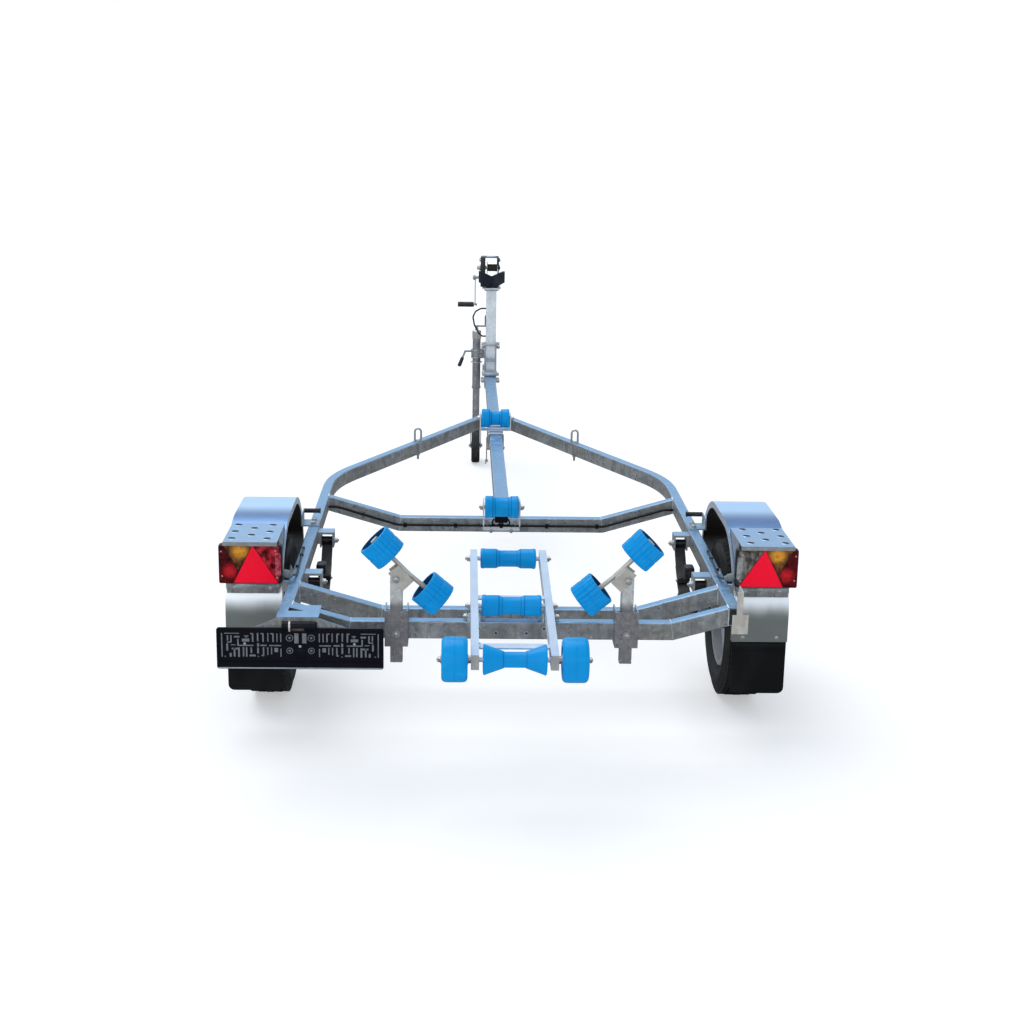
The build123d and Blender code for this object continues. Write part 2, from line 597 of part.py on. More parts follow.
def keel_roller(x0, length, end_radius, waist_radius, y, z, waist_share=0.3):
    """Waisted roller along X: straight ends, short cones, straight waist, bored for its axle."""
    half, waist_half = length / 2, length * waist_share / 2
    cone = waist_half + length * 0.06
    with BuildSketch(Plane((x0, y, z), x_dir=(1, 0, 0), z_dir=(0, -1, 0))) as profile:
        with BuildLine():
            Polyline((-half, end_radius - 3), (-half + 3, end_radius), (-cone, end_radius),
                     (-waist_half, waist_radius), (waist_half, waist_radius), (cone, end_radius),
                     (half - 3, end_radius), (half, end_radius - 3), (half, roller_axle + roller_gap),
                     (-half, roller_axle + roller_gap), close=True)
        make_face()
    revolve(profile.sketch, axis=Axis((x0, y, z), (1, 0, 0)))


with BuildPart() as nose_roller:
    keel_roller(0, keel_roller_length, keel_roller_radius, nose_roller_waist, nose_roller_y, nose_roller_z)
save(nose_roller, "nose_roller")

with BuildPart() as rear_keel_roller:
    keel_roller(0, keel_roller_length, keel_roller_radius, keel_roller_waist, keel_roller_y, keel_roller_z)
save(rear_keel_roller, "keel_roller")

# Nose roller bracket: saddle on the drawbar, two ears and the axle.
ear_gap, ear = 3.0, 5.0
ear_x = keel_roller_length / 2 + ear_gap
with BuildPart() as nose_bracket:
    block(-ear_x - ear, ear_x + ear, nose_roller_y - 35, nose_roller_y + 35, frame_top, frame_top + ear - 2)
    for side in (-1, 1):
        block(side * ear_x, side * (ear_x + ear), nose_roller_y - 35, nose_roller_y + 35,
              frame_top, nose_roller_z + 22)
        block(side * drawbar_w / 2, side * (drawbar_w / 2 + ear), nose_roller_y - 35, nose_roller_y + 35,
              frame_top - 24, frame_top)
    cylinder_x(roller_axle, -ear_x - ear - 12, ear_x + ear + 12, nose_roller_y, nose_roller_z)
save(nose_bracket, "nose_roller_bracket")

# Keel roller bracket: ears behind the front cross member, tied by a plate on its rear face.
with BuildPart() as keel_bracket:
    low_z = frame_top - front_cross_drop - tube_h
    keel_ear_low = low_z + tube_h - 13
    block(-ear_x - ear, ear_x + ear, front_cross_y - ear, front_cross_y, low_z + 8, frame_top - front_cross_drop)
    for side in (-1, 1):
        block(side * ear_x, side * (ear_x + ear), keel_roller_y - 24, front_cross_y, keel_ear_low,
              keel_roller_z + 24)
    cylinder_x(roller_axle, -ear_x - ear - 12, ear_x + ear + 12, keel_roller_y, keel_roller_z)
save(keel_bracket, "keel_roller_bracket")

# ================= rear cradle =================

# The cradle's rails lean down to the rear; along and upright are its own directions.
cradle_slope = atan2(cradle_front_z - cradle_rear_z, cradle_front_y - cradle_rear_y)
cradle_length = hypot(cradle_front_z - cradle_rear_z, cradle_front_y - cradle_rear_y)
cradle_plane = Plane((0, cradle_rear_y, cradle_rear_z), x_dir=(0, cos(cradle_slope), sin(cradle_slope)),
                     z_dir=(1, 0, 0))
rail_overrun = 22.0
mid_roller_along = (cradle_pivot_y - 4 - cradle_rear_y) / cos(cradle_slope)
mid_roller_y = cradle_rear_y + mid_roller_along * cos(cradle_slope)
mid_roller_z = cradle_rear_z + mid_roller_along * sin(cradle_slope) + 6
side_wheel_inner = cradle_rail_x + cradle_rail_w / 2 + 10
axle_end = side_wheel_inner + side_wheel_width + 12
tie_half = cradle_rail_x - cradle_rail_w / 2
pivot_lug_half = cradle_rail_w / 2
with BuildPart() as cradle_frame:
    for side in (-1, 1):
        with BuildSketch(cradle_plane.offset(side * cradle_rail_x)):
            with Locations((cradle_length / 2, 0)):
                Rectangle(cradle_length + 2 * rail_overrun, cradle_rail_h)
        extrude(amount=cradle_rail_w / 2, both=True)
        lug_x = side * cradle_rail_x
        block(lug_x - pivot_lug_half, lug_x + pivot_lug_half, cradle_pivot_y - 14, cradle_pivot_y + 14,
              cradle_pivot_z, mid_roller_z - 22)
        cylinder_x(pivot_boss, lug_x - pivot_lug_half, lug_x + pivot_lug_half, cradle_pivot_y, cradle_pivot_z)
    with BuildSketch(cradle_plane):
        with Locations((70, 12)):
            Rectangle(34, 5)
        with Locations((mid_roller_along + 52, 12)):
            Rectangle(30, 5)
    extrude(amount=tie_half, both=True)
    cylinder_x(roller_axle, -axle_end, axle_end, cradle_rear_y, cradle_rear_z)
    stub = cradle_rail_x + cradle_rail_w / 2 + 12
    cylinder_x(roller_axle, -stub, stub, mid_roller_y, mid_roller_z)
    cylinder_x(roller_axle, -stub, stub, cradle_front_y, cradle_front_z)
    for side in (-1, 1):
        cylinder_x(cradle_pivot_radius + 0.05, side * (cradle_rail_x - 20), side * (cradle_rail_x + 20),
                   cradle_pivot_y, cradle_pivot_z, Mode.SUBTRACT)
save(cradle_frame, "cradle_frame")

# Pivot lugs on the rear cross member, either side of each cradle rail, with the pivot bolts.
with BuildPart() as cradle_lugs:
    for side in (-1, 1):
        for across in (-1, 1):
            lug_mid = side * cradle_rail_x + across * (pivot_lug_half + 1 + cradle_lug / 2)
            with BuildSketch(Plane((lug_mid, cradle_pivot_y, 0), x_dir=(0, 1, 0), z_dir=(1, 0, 0))):
                with BuildLine():
                    Polyline((-16, rear_cross_top), (16, rear_cross_top), (12, cradle_pivot_z + 2),
                             (-12, cradle_pivot_z + 2), close=True)
                make_face()
                with Locations((0, cradle_pivot_z)):
                    Circle(pivot_boss)
                with Locations((0, rear_cross_top - 20)):
                    Rectangle(60, 40, mode=Mode.SUBTRACT)
            extrude(amount=cradle_lug / 2, both=True)
        cylinder_x(cradle_pivot_radius, side * (cradle_rail_x - 22), side * (cradle_rail_x + 28),
                   cradle_pivot_y, cradle_pivot_z)
save(cradle_lugs, "cradle_lugs")

with BuildPart() as cradle_front_roller:
    keel_roller(0, cradle_roller_length, cradle_roller_radius, cradle_roller_waist, cradle_front_y,
                cradle_front_z)
save(cradle_front_roller, "cradle_front_roller")

with BuildPart() as cradle_middle_roller:
    keel_roller(0, cradle_roller_length, cradle_roller_radius, cradle_roller_waist, mid_roller_y, mid_roller_z)
save(cradle_middle_roller, "cradle_middle_roller")

with BuildPart() as cradle_bow_roller:
    half, waist = cradle_roller_length / 2, cradle_roller_length * 0.17
    with BuildSketch(Plane((0, cradle_rear_y, cradle_rear_z), x_dir=(1, 0, 0), z_dir=(0, -1, 0))):
        with BuildLine():
            Polyline((-half, bow_roller_radius), (-waist - 4, bow_roller_waist + 3), (-waist, bow_roller_waist),
                     (waist, bow_roller_waist), (waist + 4, bow_roller_waist + 3), (half, bow_roller_radius),
                     (half, roller_axle + roller_gap), (-half, roller_axle + roller_gap), close=True)
        make_face()
    revolve(axis=Axis((0, cradle_rear_y, cradle_rear_z), (1, 0, 0)))
save(cradle_bow_roller, "cradle_bow_roller")

with BuildPart() as side_wheel:
    cylinder_x(side_wheel_radius, side_wheel_inner, side_wheel_inner + side_wheel_width, cradle_rear_y,
               cradle_rear_z)
    fillet(side_wheel.edges(), 8)
    cylinder_x(roller_axle + roller_gap, side_wheel_inner - 5, side_wheel_inner + side_wheel_width + 5,
               cradle_rear_y, cradle_rear_z, Mode.SUBTRACT)
save_pair(side_wheel, "cradle_wheel")

# ================= side roller pairs =================

post_y = rear_cross_y - post_w / 2
clamp_sheet, clamp_half = 5.0, 38.0
pair_cheek, pair_cheek_gap = 4.0, 1.0
with BuildPart() as roller_post:
    block(post_x - post_w / 2, post_x + post_w / 2, post_y - post_w / 2, post_y + post_w / 2,
          post_bottom, pair_pivot_z)
    fillet(roller_post.edges().filter_by(Axis.Z), tube_corner)
    cylinder_y(post_w / 2, post_x, post_y - post_w / 2, post_y + post_w / 2, pair_pivot_z)
    block(post_x - post_w / 2 + tube_wall, post_x + post_w / 2 - tube_wall, post_y - post_w / 2 + tube_wall,
          post_y + post_w / 2 - tube_wall, post_bottom, post_bottom + end_pocket, Mode.SUBTRACT)
    rear_face = post_y - post_w / 2
    clamp_bottom, clamp_top = rear_cross_bottom - 12, rear_cross_top + 50
    block(post_x - clamp_half, post_x + clamp_half, rear_face - clamp_sheet, rear_face, clamp_bottom, clamp_top)
    for side in (-1, 1):
        outer = post_x + side * clamp_half
        block(outer - side * clamp_sheet, outer, rear_face, rear_cross_y + tube_w + 6, clamp_bottom, clamp_top)
    block(post_x - clamp_half - 1, post_x + clamp_half + 1, rear_cross_y, rear_cross_y + tube_w,
          rear_cross_bottom, rear_cross_top, Mode.SUBTRACT)
    cylinder_y(9, post_x, rear_face - clamp_sheet - 8, rear_face - clamp_sheet,
               (rear_cross_top + rear_cross_bottom) / 2)
    pin_reach = post_w / 2 + pair_cheek_gap + pair_cheek
    cylinder_y(pair_pin, post_x, post_y - pin_reach - 2, post_y + pin_reach + 2, pair_pivot_z)
    for side in (-1, 1):
        head = post_y + side * (pin_reach + 1)
        cylinder_y(10, post_x, head, head + side * 8, pair_pivot_z)
save_both(roller_post, "roller_posts")

# Roller pair arm: two cheeks round the post's head and a bent rod that carries a roller at each end.
# Places are (across, up) from the pivot on the right-hand side, across being positive outboard.
pair_plane = Plane((post_x, post_y, pair_pivot_z), x_dir=(1, 0, 0), z_dir=(0, -1, 0))
outer_roller, inner_roller = (46.0, 99.0), (-118.0, -54.0)
rod_bend = (-42.0, 10.0)
cheek_outline = [(26, 20), (-6, 46), (-42, 10), (-56, -6), (-22, -39)]


def beyond(start, end, extra):
    """The point that lies extra past end on the line from start."""
    length = hypot(end[0] - start[0], end[1] - start[1])
    return (end[0] + (end[0] - start[0]) * extra / length, end[1] + (end[1] - start[1]) * extra / length)


def pair_place(point):
    """Where a point of the pair's plane lies."""
    return pair_plane.from_local_coords(Vector(*point))


rod_overrun = pair_roller_length / 2 - 8
outer_tip = beyond(rod_bend, outer_roller, rod_overrun)
inner_tip = beyond(rod_bend, inner_roller, rod_overrun)
cheek_inner = post_w / 2 + pair_cheek_gap
with BuildPart() as pair_arm:
    for tip in (outer_tip, inner_tip):
        bar(pair_rod, pair_place(rod_bend), pair_place(tip))
        bar(pair_rod + 6, pair_place(tip), pair_place(beyond(rod_bend, tip, 6)))
    with BuildSketch(pair_plane.offset(cheek_inner)):
        with BuildLine():
            Polyline(*cheek_outline, close=True)
        make_face()
    extrude(amount=pair_cheek)
    with BuildSketch(pair_plane.offset(-cheek_inner - pair_cheek)):
        with BuildLine():
            Polyline(*cheek_outline, close=True)
        make_face()
    extrude(amount=pair_cheek)
    web = [cheek_outline[1], cheek_outline[2], (-40, 7.5), (-4, 43.5)]
    with BuildSketch(pair_plane):
        with BuildLine():
            Polyline(*web, close=True)
        make_face()
    extrude(amount=cheek_inner + pair_cheek, both=True)
    cylinder_y(pair_pin + pair_pin_gap, post_x, post_y - 60, post_y + 60, pair_pivot_z, Mode.SUBTRACT)
save_pair(pair_arm, "roller_arm")

# Drum rollers of a pair: thick wall open at both ends, a web and a bored boss inside.
for name, centre in (("outer", outer_roller), ("inner", inner_roller)):
    middle = pair_place(centre)
    along = (pair_place(rod_bend) - middle).normalized()
    half = pair_roller_length / 2
    drum_plane = Plane(middle, x_dir=along, z_dir=along.cross(Vector(0, 1, 0)))
    bore = pair_rod + roller_gap
    inside = pair_roller_radius - pair_roller_wall
    with BuildPart() as drum_roller:
        with BuildSketch(drum_plane):
            with BuildLine():
                Polyline((-half, pair_roller_radius - 3), (-half + 3, pair_roller_radius),
                         (half - 3, pair_roller_radius), (half, pair_roller_radius - 3), (half, inside),
                         (6, inside), (6, 20), (half - 12, 20), (half - 12, bore), (-half + 12, bore),
                         (-half + 12, 20), (-6, 20), (-6, inside), (-half, inside), close=True)
            make_face()
        revolve(axis=Axis(middle, along))
    save_pair(drum_roller, f"drum_roller_{name}")

# ================= winch post =================

# Post: square tube on the drawbar with a top plate for the winch.
top_plate = 6.0
with BuildPart() as winch_post:
    with BuildSketch(Plane((0, winch_post_y, frame_top))):
        RectangleRounded(winch_post_w, winch_post_w, tube_corner)
    extrude(amount=winch_post_top - frame_top)
    block(-54, 54, winch_post_y - 62, winch_y + winch_depth / 2 + 4, winch_post_top, winch_post_top + top_plate)
    fillet(winch_post.edges().filter_by(Axis.Z).group_by(Axis.Y)[-1], 10)
save(winch_post, "winch_post")

# Post bracket: plates on both sides of drawbar and post, drawn together by bolts.
bracket_plate = 5.0
with BuildPart() as post_bracket:
    for side in (-1, 1):
        x0, x1 = side * drawbar_w / 2, side * (drawbar_w / 2 + bracket_plate)
        block(x0, x1, winch_post_y - 52, winch_post_y + 140, drawbar_bottom - 14, frame_top + 120)
        block(x0, x1, winch_post_y - 36, winch_post_y + 36, frame_top + 120, frame_top + 196)
        cylinder_x(9, x1, x1 + side * 8, winch_post_y, frame_top + 168)
        for fore in (-38, 38):
            cylinder_x(9, x1, x1 + side * 8, winch_post_y + fore, drawbar_bottom + 30)
    for height in (frame_top + 26, frame_top + 96):
        block(-drawbar_w / 2, drawbar_w / 2, winch_post_y - 50, winch_post_y - 44, height - 9, height + 9)
save(post_bracket, "post_bracket")

# Bow stop: rubber V, its arms rising outward and notched towards the boat, on the top plate.
stop_z = winch_post_top + top_plate
with BuildPart() as bow_stop:
    with BuildSketch(Plane((0, winch_post_y - 4, stop_z), x_dir=(1, 0, 0), z_dir=(0, -1, 0))):
        with BuildLine():
            Polyline((-30, 0), (30, 0), (36, 12), (76, 36), (76, 96), (66, 96), (0, 66), (-66, 96), (-76, 96),
                     (-76, 36), (-36, 12), close=True)
        make_face()
    extrude(amount=58)
    with BuildSketch(Plane((0, 0, stop_z - 1))):
        with BuildLine():
            Polyline((-64, winch_post_y - 63), (64, winch_post_y - 63), (0, winch_post_y - 26), close=True)
        make_face()
    extrude(amount=100, mode=Mode.SUBTRACT)
    fillet(bow_stop.faces().sort_by(Axis.Y)[-1].edges(), 3)
save(bow_stop, "bow_stop")

# Winch frame: folded cheeks joined over the top and across the foot.
outer_left, outer_right = winch_left - winch_cheek, winch_right + winch_cheek
winch_rear, winch_front = winch_y - winch_depth / 2, winch_y + winch_depth / 2
with BuildPart() as winch_frame:
    block(outer_left, outer_right, winch_rear, winch_front, stop_z, winch_top)
    fillet(winch_frame.edges().filter_by(Axis.Y).group_by(Axis.Z)[-1], 6)
    block(winch_left, winch_right, winch_rear - 1, winch_front + 1, stop_z + winch_cheek,
          winch_top - winch_cheek, Mode.SUBTRACT)
    for height in (drum_z, crank_z):
        cylinder_x(shaft_radius + spindle_gap, outer_left - 5, outer_right + 5, winch_y, height, Mode.SUBTRACT)
save(winch_frame, "winch_frame")

gear_left, gear_width = winch_left + 4, 14.0
# Winch drum on its shaft, wound with strap, between two flanges and beside its large gear.
with BuildPart() as winch_drum:
    cylinder_x(shaft_radius, outer_left - 6, outer_right + 6, winch_y, drum_z)
    cylinder_x(drum_full, -24, 32, winch_y, drum_z)
    for flange in (-27, 32):
        cylinder_x(drum_full + 8, flange, flange + 3, winch_y, drum_z)
    cylinder_x(gear_radius, gear_left, gear_left + gear_width, winch_y, drum_z)
    cylinder_x(drum_core, gear_left + gear_width, -27, winch_y, drum_z)
save(winch_drum, "winch_drum")

# Crank: pinion and shaft through the cheeks, arm outside the left cheek, and its grip.
arm_x = outer_left - 31
with BuildPart() as winch_crank:
    cylinder_x(shaft_radius, arm_x + 5, outer_right + 8, winch_y, crank_z)
    cylinder_x(pinion_radius, gear_left, gear_left + gear_width, winch_y, crank_z)
    block(arm_x - 3, arm_x + 3, winch_y - 11, winch_y + 11, crank_z - crank_length, crank_z)
    cylinder_x(14, arm_x - 3, arm_x + 6, winch_y, crank_z)
    cylinder_x(5, arm_x - 8, arm_x + 3, winch_y, crank_z - crank_length)
    cylinder_x(14, arm_x - 6 - crank_grip, arm_x - 6, winch_y, crank_z - crank_length)
save(winch_crank, "winch_crank")

# ================= jockey wheel =================

# Clamp: split ring round the tube on a pad of the post bracket, with its lever.
clamp_low, clamp_high = frame_top + 86, frame_top + 140
ring_radius = jockey_outer_radius + 8
pad_x = -drawbar_w / 2 - bracket_plate
lever_rod, lever_grip = 6.0, 9.0
lever_bend = Vector(jockey_x - 68, jockey_y, clamp_high - 14)
lever_tip = Vector(jockey_x - 105, jockey_y, clamp_high - 106)
with BuildPart() as jockey_clamp:
    cylinder_z(ring_radius, jockey_x, jockey_y, clamp_low, clamp_high)
    block(jockey_x, pad_x, jockey_y - 20, jockey_y + 20, clamp_low, clamp_high)
    cylinder_z(jockey_outer_radius, jockey_x, jockey_y, clamp_low - 1, clamp_high + 1, Mode.SUBTRACT)
    cylinder_x(lever_rod, jockey_x - ring_radius + 4, lever_bend.X, jockey_y, lever_bend.Z)
    with Locations(lever_bend):
        Sphere(lever_rod)
    bar(lever_rod, lever_bend, lever_tip)
    bar(lever_grip, lever_bend + (lever_tip - lever_bend) * 0.45, lever_tip)
save(jockey_clamp, "jockey_clamp")

# Outer tube with its cap and top crank; the bore takes the inner tube.
tube_fit = 0.05
with BuildPart() as jockey_tube:
    cylinder_z(jockey_outer_radius, jockey_x, jockey_y, jockey_tube_bottom, jockey_tube_top)
    cylinder_z(jockey_outer_radius + 3, jockey_x, jockey_y, jockey_tube_bottom, jockey_tube_bottom + 12)
    cylinder_z(jockey_outer_radius + 2, jockey_x, jockey_y, jockey_tube_top - 16, jockey_tube_top + 6)
    cylinder_z(7, jockey_x, jockey_y, jockey_tube_top, jockey_tube_top + 40)
    cylinder_x(6, jockey_x - 6, jockey_x + 62, jockey_y, jockey_tube_top + 36)
    cylinder_z(11, jockey_x + 58, jockey_y, jockey_tube_top + 36, jockey_tube_top + 100)
    cylinder_z(jockey_inner_radius + tube_fit, jockey_x, jockey_y, jockey_tube_bottom - 1,
               jockey_tube_top - 20, Mode.SUBTRACT)
save(jockey_tube, "jockey_tube")

# Inner tube: slides in the outer one and ends in a collar over the fork.
fork_top = 2 * jockey_wheel_radius + 34
swivel_gap = 0.3
with BuildPart() as jockey_inner_tube:
    collar_z = fork_top + swivel_gap
    cylinder_z(jockey_inner_radius, jockey_x, jockey_y, collar_z, jockey_tube_top - 240)
    cylinder_z(jockey_inner_radius + 5, jockey_x, jockey_y, collar_z, collar_z + 12)
save(jockey_inner_tube, "jockey_inner_tube")

# Fork: swivels under the inner tube; the wheel trails it.
jockey_axle_y = jockey_y - jockey_trail
fork_inner = jockey_wheel_width / 2 + 4
fork_sheet = 4.0
with BuildPart() as jockey_fork:
    block(jockey_x - fork_inner - fork_sheet, jockey_x + fork_inner + fork_sheet, jockey_axle_y - 20,
          jockey_y + 26, fork_top - 8, fork_top)
    fillet(jockey_fork.edges().filter_by(Axis.Z), 10)
    for side in (-1, 1):
        with BuildSketch(Plane((jockey_x + side * fork_inner, 0, 0), x_dir=(0, 1, 0), z_dir=(1, 0, 0))):
            with BuildLine():
                Polyline((jockey_axle_y - 18, fork_top - 4), (jockey_y + 20, fork_top - 4),
                         (jockey_axle_y + 18, jockey_wheel_radius), (jockey_axle_y - 18, jockey_wheel_radius),
                         close=True)
            make_face()
            with Locations((jockey_axle_y, jockey_wheel_radius)):
                Circle(18)
        extrude(amount=side * fork_sheet)
    cylinder_x(8, jockey_x - fork_inner - 10, jockey_x + fork_inner + 10, jockey_axle_y, jockey_wheel_radius)
save(jockey_fork, "jockey_fork")

with BuildPart() as jockey_wheel:
    cylinder_x(jockey_wheel_radius, jockey_x - jockey_wheel_width / 2, jockey_x + jockey_wheel_width / 2,
               jockey_axle_y, jockey_wheel_radius)
    fillet(jockey_wheel.edges(), 12)
    for side in (-1, 1):
        face = jockey_x + side * jockey_wheel_width / 2
        cylinder_x(66, face - side * 8, face, jockey_axle_y, jockey_wheel_radius, Mode.SUBTRACT)
    cylinder_x(20, jockey_x - jockey_wheel_width / 2 - 2, jockey_x + jockey_wheel_width / 2 + 2,
               jockey_axle_y, jockey_wheel_radius)
    cylinder_x(8 + roller_gap, jockey_x - 60, jockey_x + 60, jockey_axle_y, jockey_wheel_radius, Mode.SUBTRACT)
save(jockey_wheel, "jockey_wheel")

# ================= lighting cable =================


def cable(points, label, clips, clip_back):
    """A round cable through points with a clip block at each place in clips, back to the tube's face."""
    turns = []
    for before, at, after in zip(points, points[1:], points[2:]):
        first, second = Vector(*at) - Vector(*before), Vector(*after) - Vector(*at)
        half_turn = first.get_angle(second) / 2
        turns.append(0.45 * min(first.length, second.length) / tan(half_turn * pi / 180))
    with BuildPart() as lead:
        with BuildLine() as route:
            FilletPolyline(*points, radius=min(turns))
        start = route.line @ 0
        with BuildSketch(Plane(start, z_dir=route.line % 0)) as section:
            Circle(cable_radius)
        sweep(section.sketch, path=route.line)
        for x, y, z in clips:
            block(x - clip_half, x + clip_half, y - cable_radius - clip_sheet, clip_back(x), z - 8, z + 8)
    save(lead, label)
    print(label, "bend radius", round(min(turns), 1))


# The cable crosses the frame along the front cross member's rear face, held by clips.
cable_y = front_cross_y - 10.0
cable_low = frame_top - front_cross_drop - tube_h / 2
cable_end_z = frame_top - 42.0
cable_half, cable_turn = cross_members[0][2] + 12, rail_inner - 36
front_route = [
    (-rail_inner, cable_y, cable_end_z), (-cable_turn, cable_y, cable_end_z), (-cable_half, cable_y, cable_low),
    (cable_half, cable_y, cable_low), (cable_turn, cable_y, cable_end_z), (rail_inner, cable_y, cable_end_z),
]
front_clips = [(x, cable_y, cable_low) for x in (-400, -190, 0, 190, 400)]
cable(front_route, "front_cable", front_clips, lambda x: front_cross_y - (ear if x == 0 else 0))

# A loop of cable leaves the winch post's left face and goes back into it lower down.
loop_y = winch_post_y - 12.0
loop_route = [
    (-winch_post_w / 2, loop_y, 948), (-60, loop_y, 948), (-92, loop_y, 930), (-107, loop_y, 898),
    (-98, loop_y, 850), (-74, loop_y, 806), (-56, loop_y, 784), (-winch_post_w / 2, loop_y, 784),
]
cable(loop_route, "post_cable", [], None)

# ================= coupling and lashing eyes =================

# Coupling: folded channel over the drawbar's end, rounded nose with a ball socket, and its lever.
coupling_front = lamp_y + nose_reach
socket_y, socket_z = coupling_front - 42.0, drawbar_bottom + 24.0
channel = 4.0
with BuildPart() as coupling:
    outer_half = drawbar_w / 2 + channel
    block(-outer_half, outer_half, drawbar_nose_y - 96, socket_y, drawbar_bottom, frame_top + channel)
    cylinder_z(42, 0, socket_y, drawbar_bottom, frame_top - 6)
    block(-drawbar_w / 2, drawbar_w / 2, drawbar_nose_y - 100, drawbar_nose_y, drawbar_bottom - 1, frame_top,
          Mode.SUBTRACT)
    block(-drawbar_w / 2, drawbar_w / 2, drawbar_nose_y, socket_y - 40, drawbar_bottom - 1, frame_top - 20,
          Mode.SUBTRACT)
    with Locations((0, socket_y, socket_z)):
        Sphere(ball_socket_radius, mode=Mode.SUBTRACT)
    cylinder_z(ball_socket_radius, 0, socket_y, drawbar_bottom - 1, socket_z, Mode.SUBTRACT)
    block(-16, 16, socket_y - 90, socket_y + 4, frame_top - 2, frame_top + 22)
    with BuildSketch(Plane((0, 0, 0), x_dir=(0, 1, 0), z_dir=(1, 0, 0))):
        with BuildLine():
            Polyline((socket_y - 60, frame_top + 20), (socket_y + 4, frame_top + 20),
                     (socket_y - 100, frame_top + 62), (socket_y - 170, frame_top + 66),
                     (socket_y - 170, frame_top + 54), (socket_y - 104, frame_top + 50), close=True)
        make_face()
    extrude(amount=13, both=True)
save(coupling, "coupling")

# Lashing eye: bent bar above each arm, its shank through the arm and held by a nut below.
with BuildPart() as lashing_eye:
    cylinder_z(lash_bar, lash_x, lash_y, frame_top - tube_h - 30, frame_top)
    cylinder_z(11, lash_x, lash_y, frame_top, frame_top + 4)
    cylinder_z(9, lash_x, lash_y, frame_top - tube_h - 9, frame_top - tube_h)
    with BuildLine(Plane((lash_x, lash_y, frame_top + 4), x_dir=(1, 0, 0), z_dir=(0, -1, 0))) as lash_path:
        Line((lash_half, 0), (lash_half, lash_rise - lash_half))
        CenterArc((0, lash_rise - lash_half), lash_half, 0, 180)
        Line((-lash_half, lash_rise - lash_half), (-lash_half, 0))
    with BuildSketch(Plane((lash_x + lash_half, lash_y, frame_top + 4))):
        Circle(lash_bar)
    sweep(path=lash_path.line)
    block(lash_x - lash_half - lash_bar, lash_x + lash_half + lash_bar, lash_y - lash_bar, lash_y + lash_bar,
          frame_top, frame_top + 6)
save_both(lashing_eye, "lashing_eyes")
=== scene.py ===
from math import atan2, cos, pi, radians, sin

import bmesh
import bpy
from mathutils import Matrix, Vector


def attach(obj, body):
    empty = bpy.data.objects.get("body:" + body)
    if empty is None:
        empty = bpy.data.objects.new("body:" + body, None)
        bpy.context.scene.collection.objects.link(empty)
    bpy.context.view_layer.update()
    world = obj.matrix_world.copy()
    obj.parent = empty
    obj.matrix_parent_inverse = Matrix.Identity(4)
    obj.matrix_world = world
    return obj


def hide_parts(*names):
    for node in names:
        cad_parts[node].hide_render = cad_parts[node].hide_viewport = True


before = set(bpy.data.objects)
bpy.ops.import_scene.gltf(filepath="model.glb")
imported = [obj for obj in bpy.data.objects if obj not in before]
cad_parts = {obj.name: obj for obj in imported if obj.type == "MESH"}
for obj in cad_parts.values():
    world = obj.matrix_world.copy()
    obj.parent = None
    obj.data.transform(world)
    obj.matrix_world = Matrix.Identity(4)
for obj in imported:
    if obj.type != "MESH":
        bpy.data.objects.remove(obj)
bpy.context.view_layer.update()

# ================= camera, light and floor =================

link = bpy.context.scene.collection.objects.link

# The trailer is seen from behind and above, a little left of its centre line.
camera = bpy.data.objects.new("camera", bpy.data.cameras.new("camera"))
camera.location = (-0.1721, -7.1972, 2.1797)
camera.rotation_euler = (radians(75.448), radians(-0.964), radians(-1.508))
camera.data.lens = 56.63
camera.data.clip_end = 200
link(camera)
bpy.context.scene.camera = camera
bpy.context.scene.view_settings.view_transform = "Standard"

# Two wide soft suns: the main one high ahead of the trailer, and a weak one behind the camera.
for name, travel, strength, spread in (
    ("sky light", (0.28, -0.42, -0.90), 1.55, 50),
    ("fill light", (0.35, 0.85, -0.45), 0.55, 60),
):
    sun = bpy.data.objects.new(name, bpy.data.lights.new(name, "SUN"))
    sun.data.energy = strength
    sun.data.angle = radians(spread)
    sun.rotation_euler = Vector(travel).to_track_quat("-Z", "Y").to_euler()
    link(sun)


class Wire:
    """A number or colour on its way through nodes; numbers add and multiply as in a sum."""

    def __init__(self, nodes, socket):
        self.nodes, self.socket = nodes, socket

    def sum(self, operation, first, second):
        return self.nodes.node("ShaderNodeMath", {"operation": operation}, {0: first, 1: second})

    def __add__(self, other):
        return self.sum("ADD", self, other)

    def __sub__(self, other):
        return self.sum("SUBTRACT", self, other)

    def __rsub__(self, other):
        return self.sum("SUBTRACT", other, self)

    def __mul__(self, other):
        return self.sum("MULTIPLY", self, other)

    __radd__, __rmul__ = __add__, __mul__


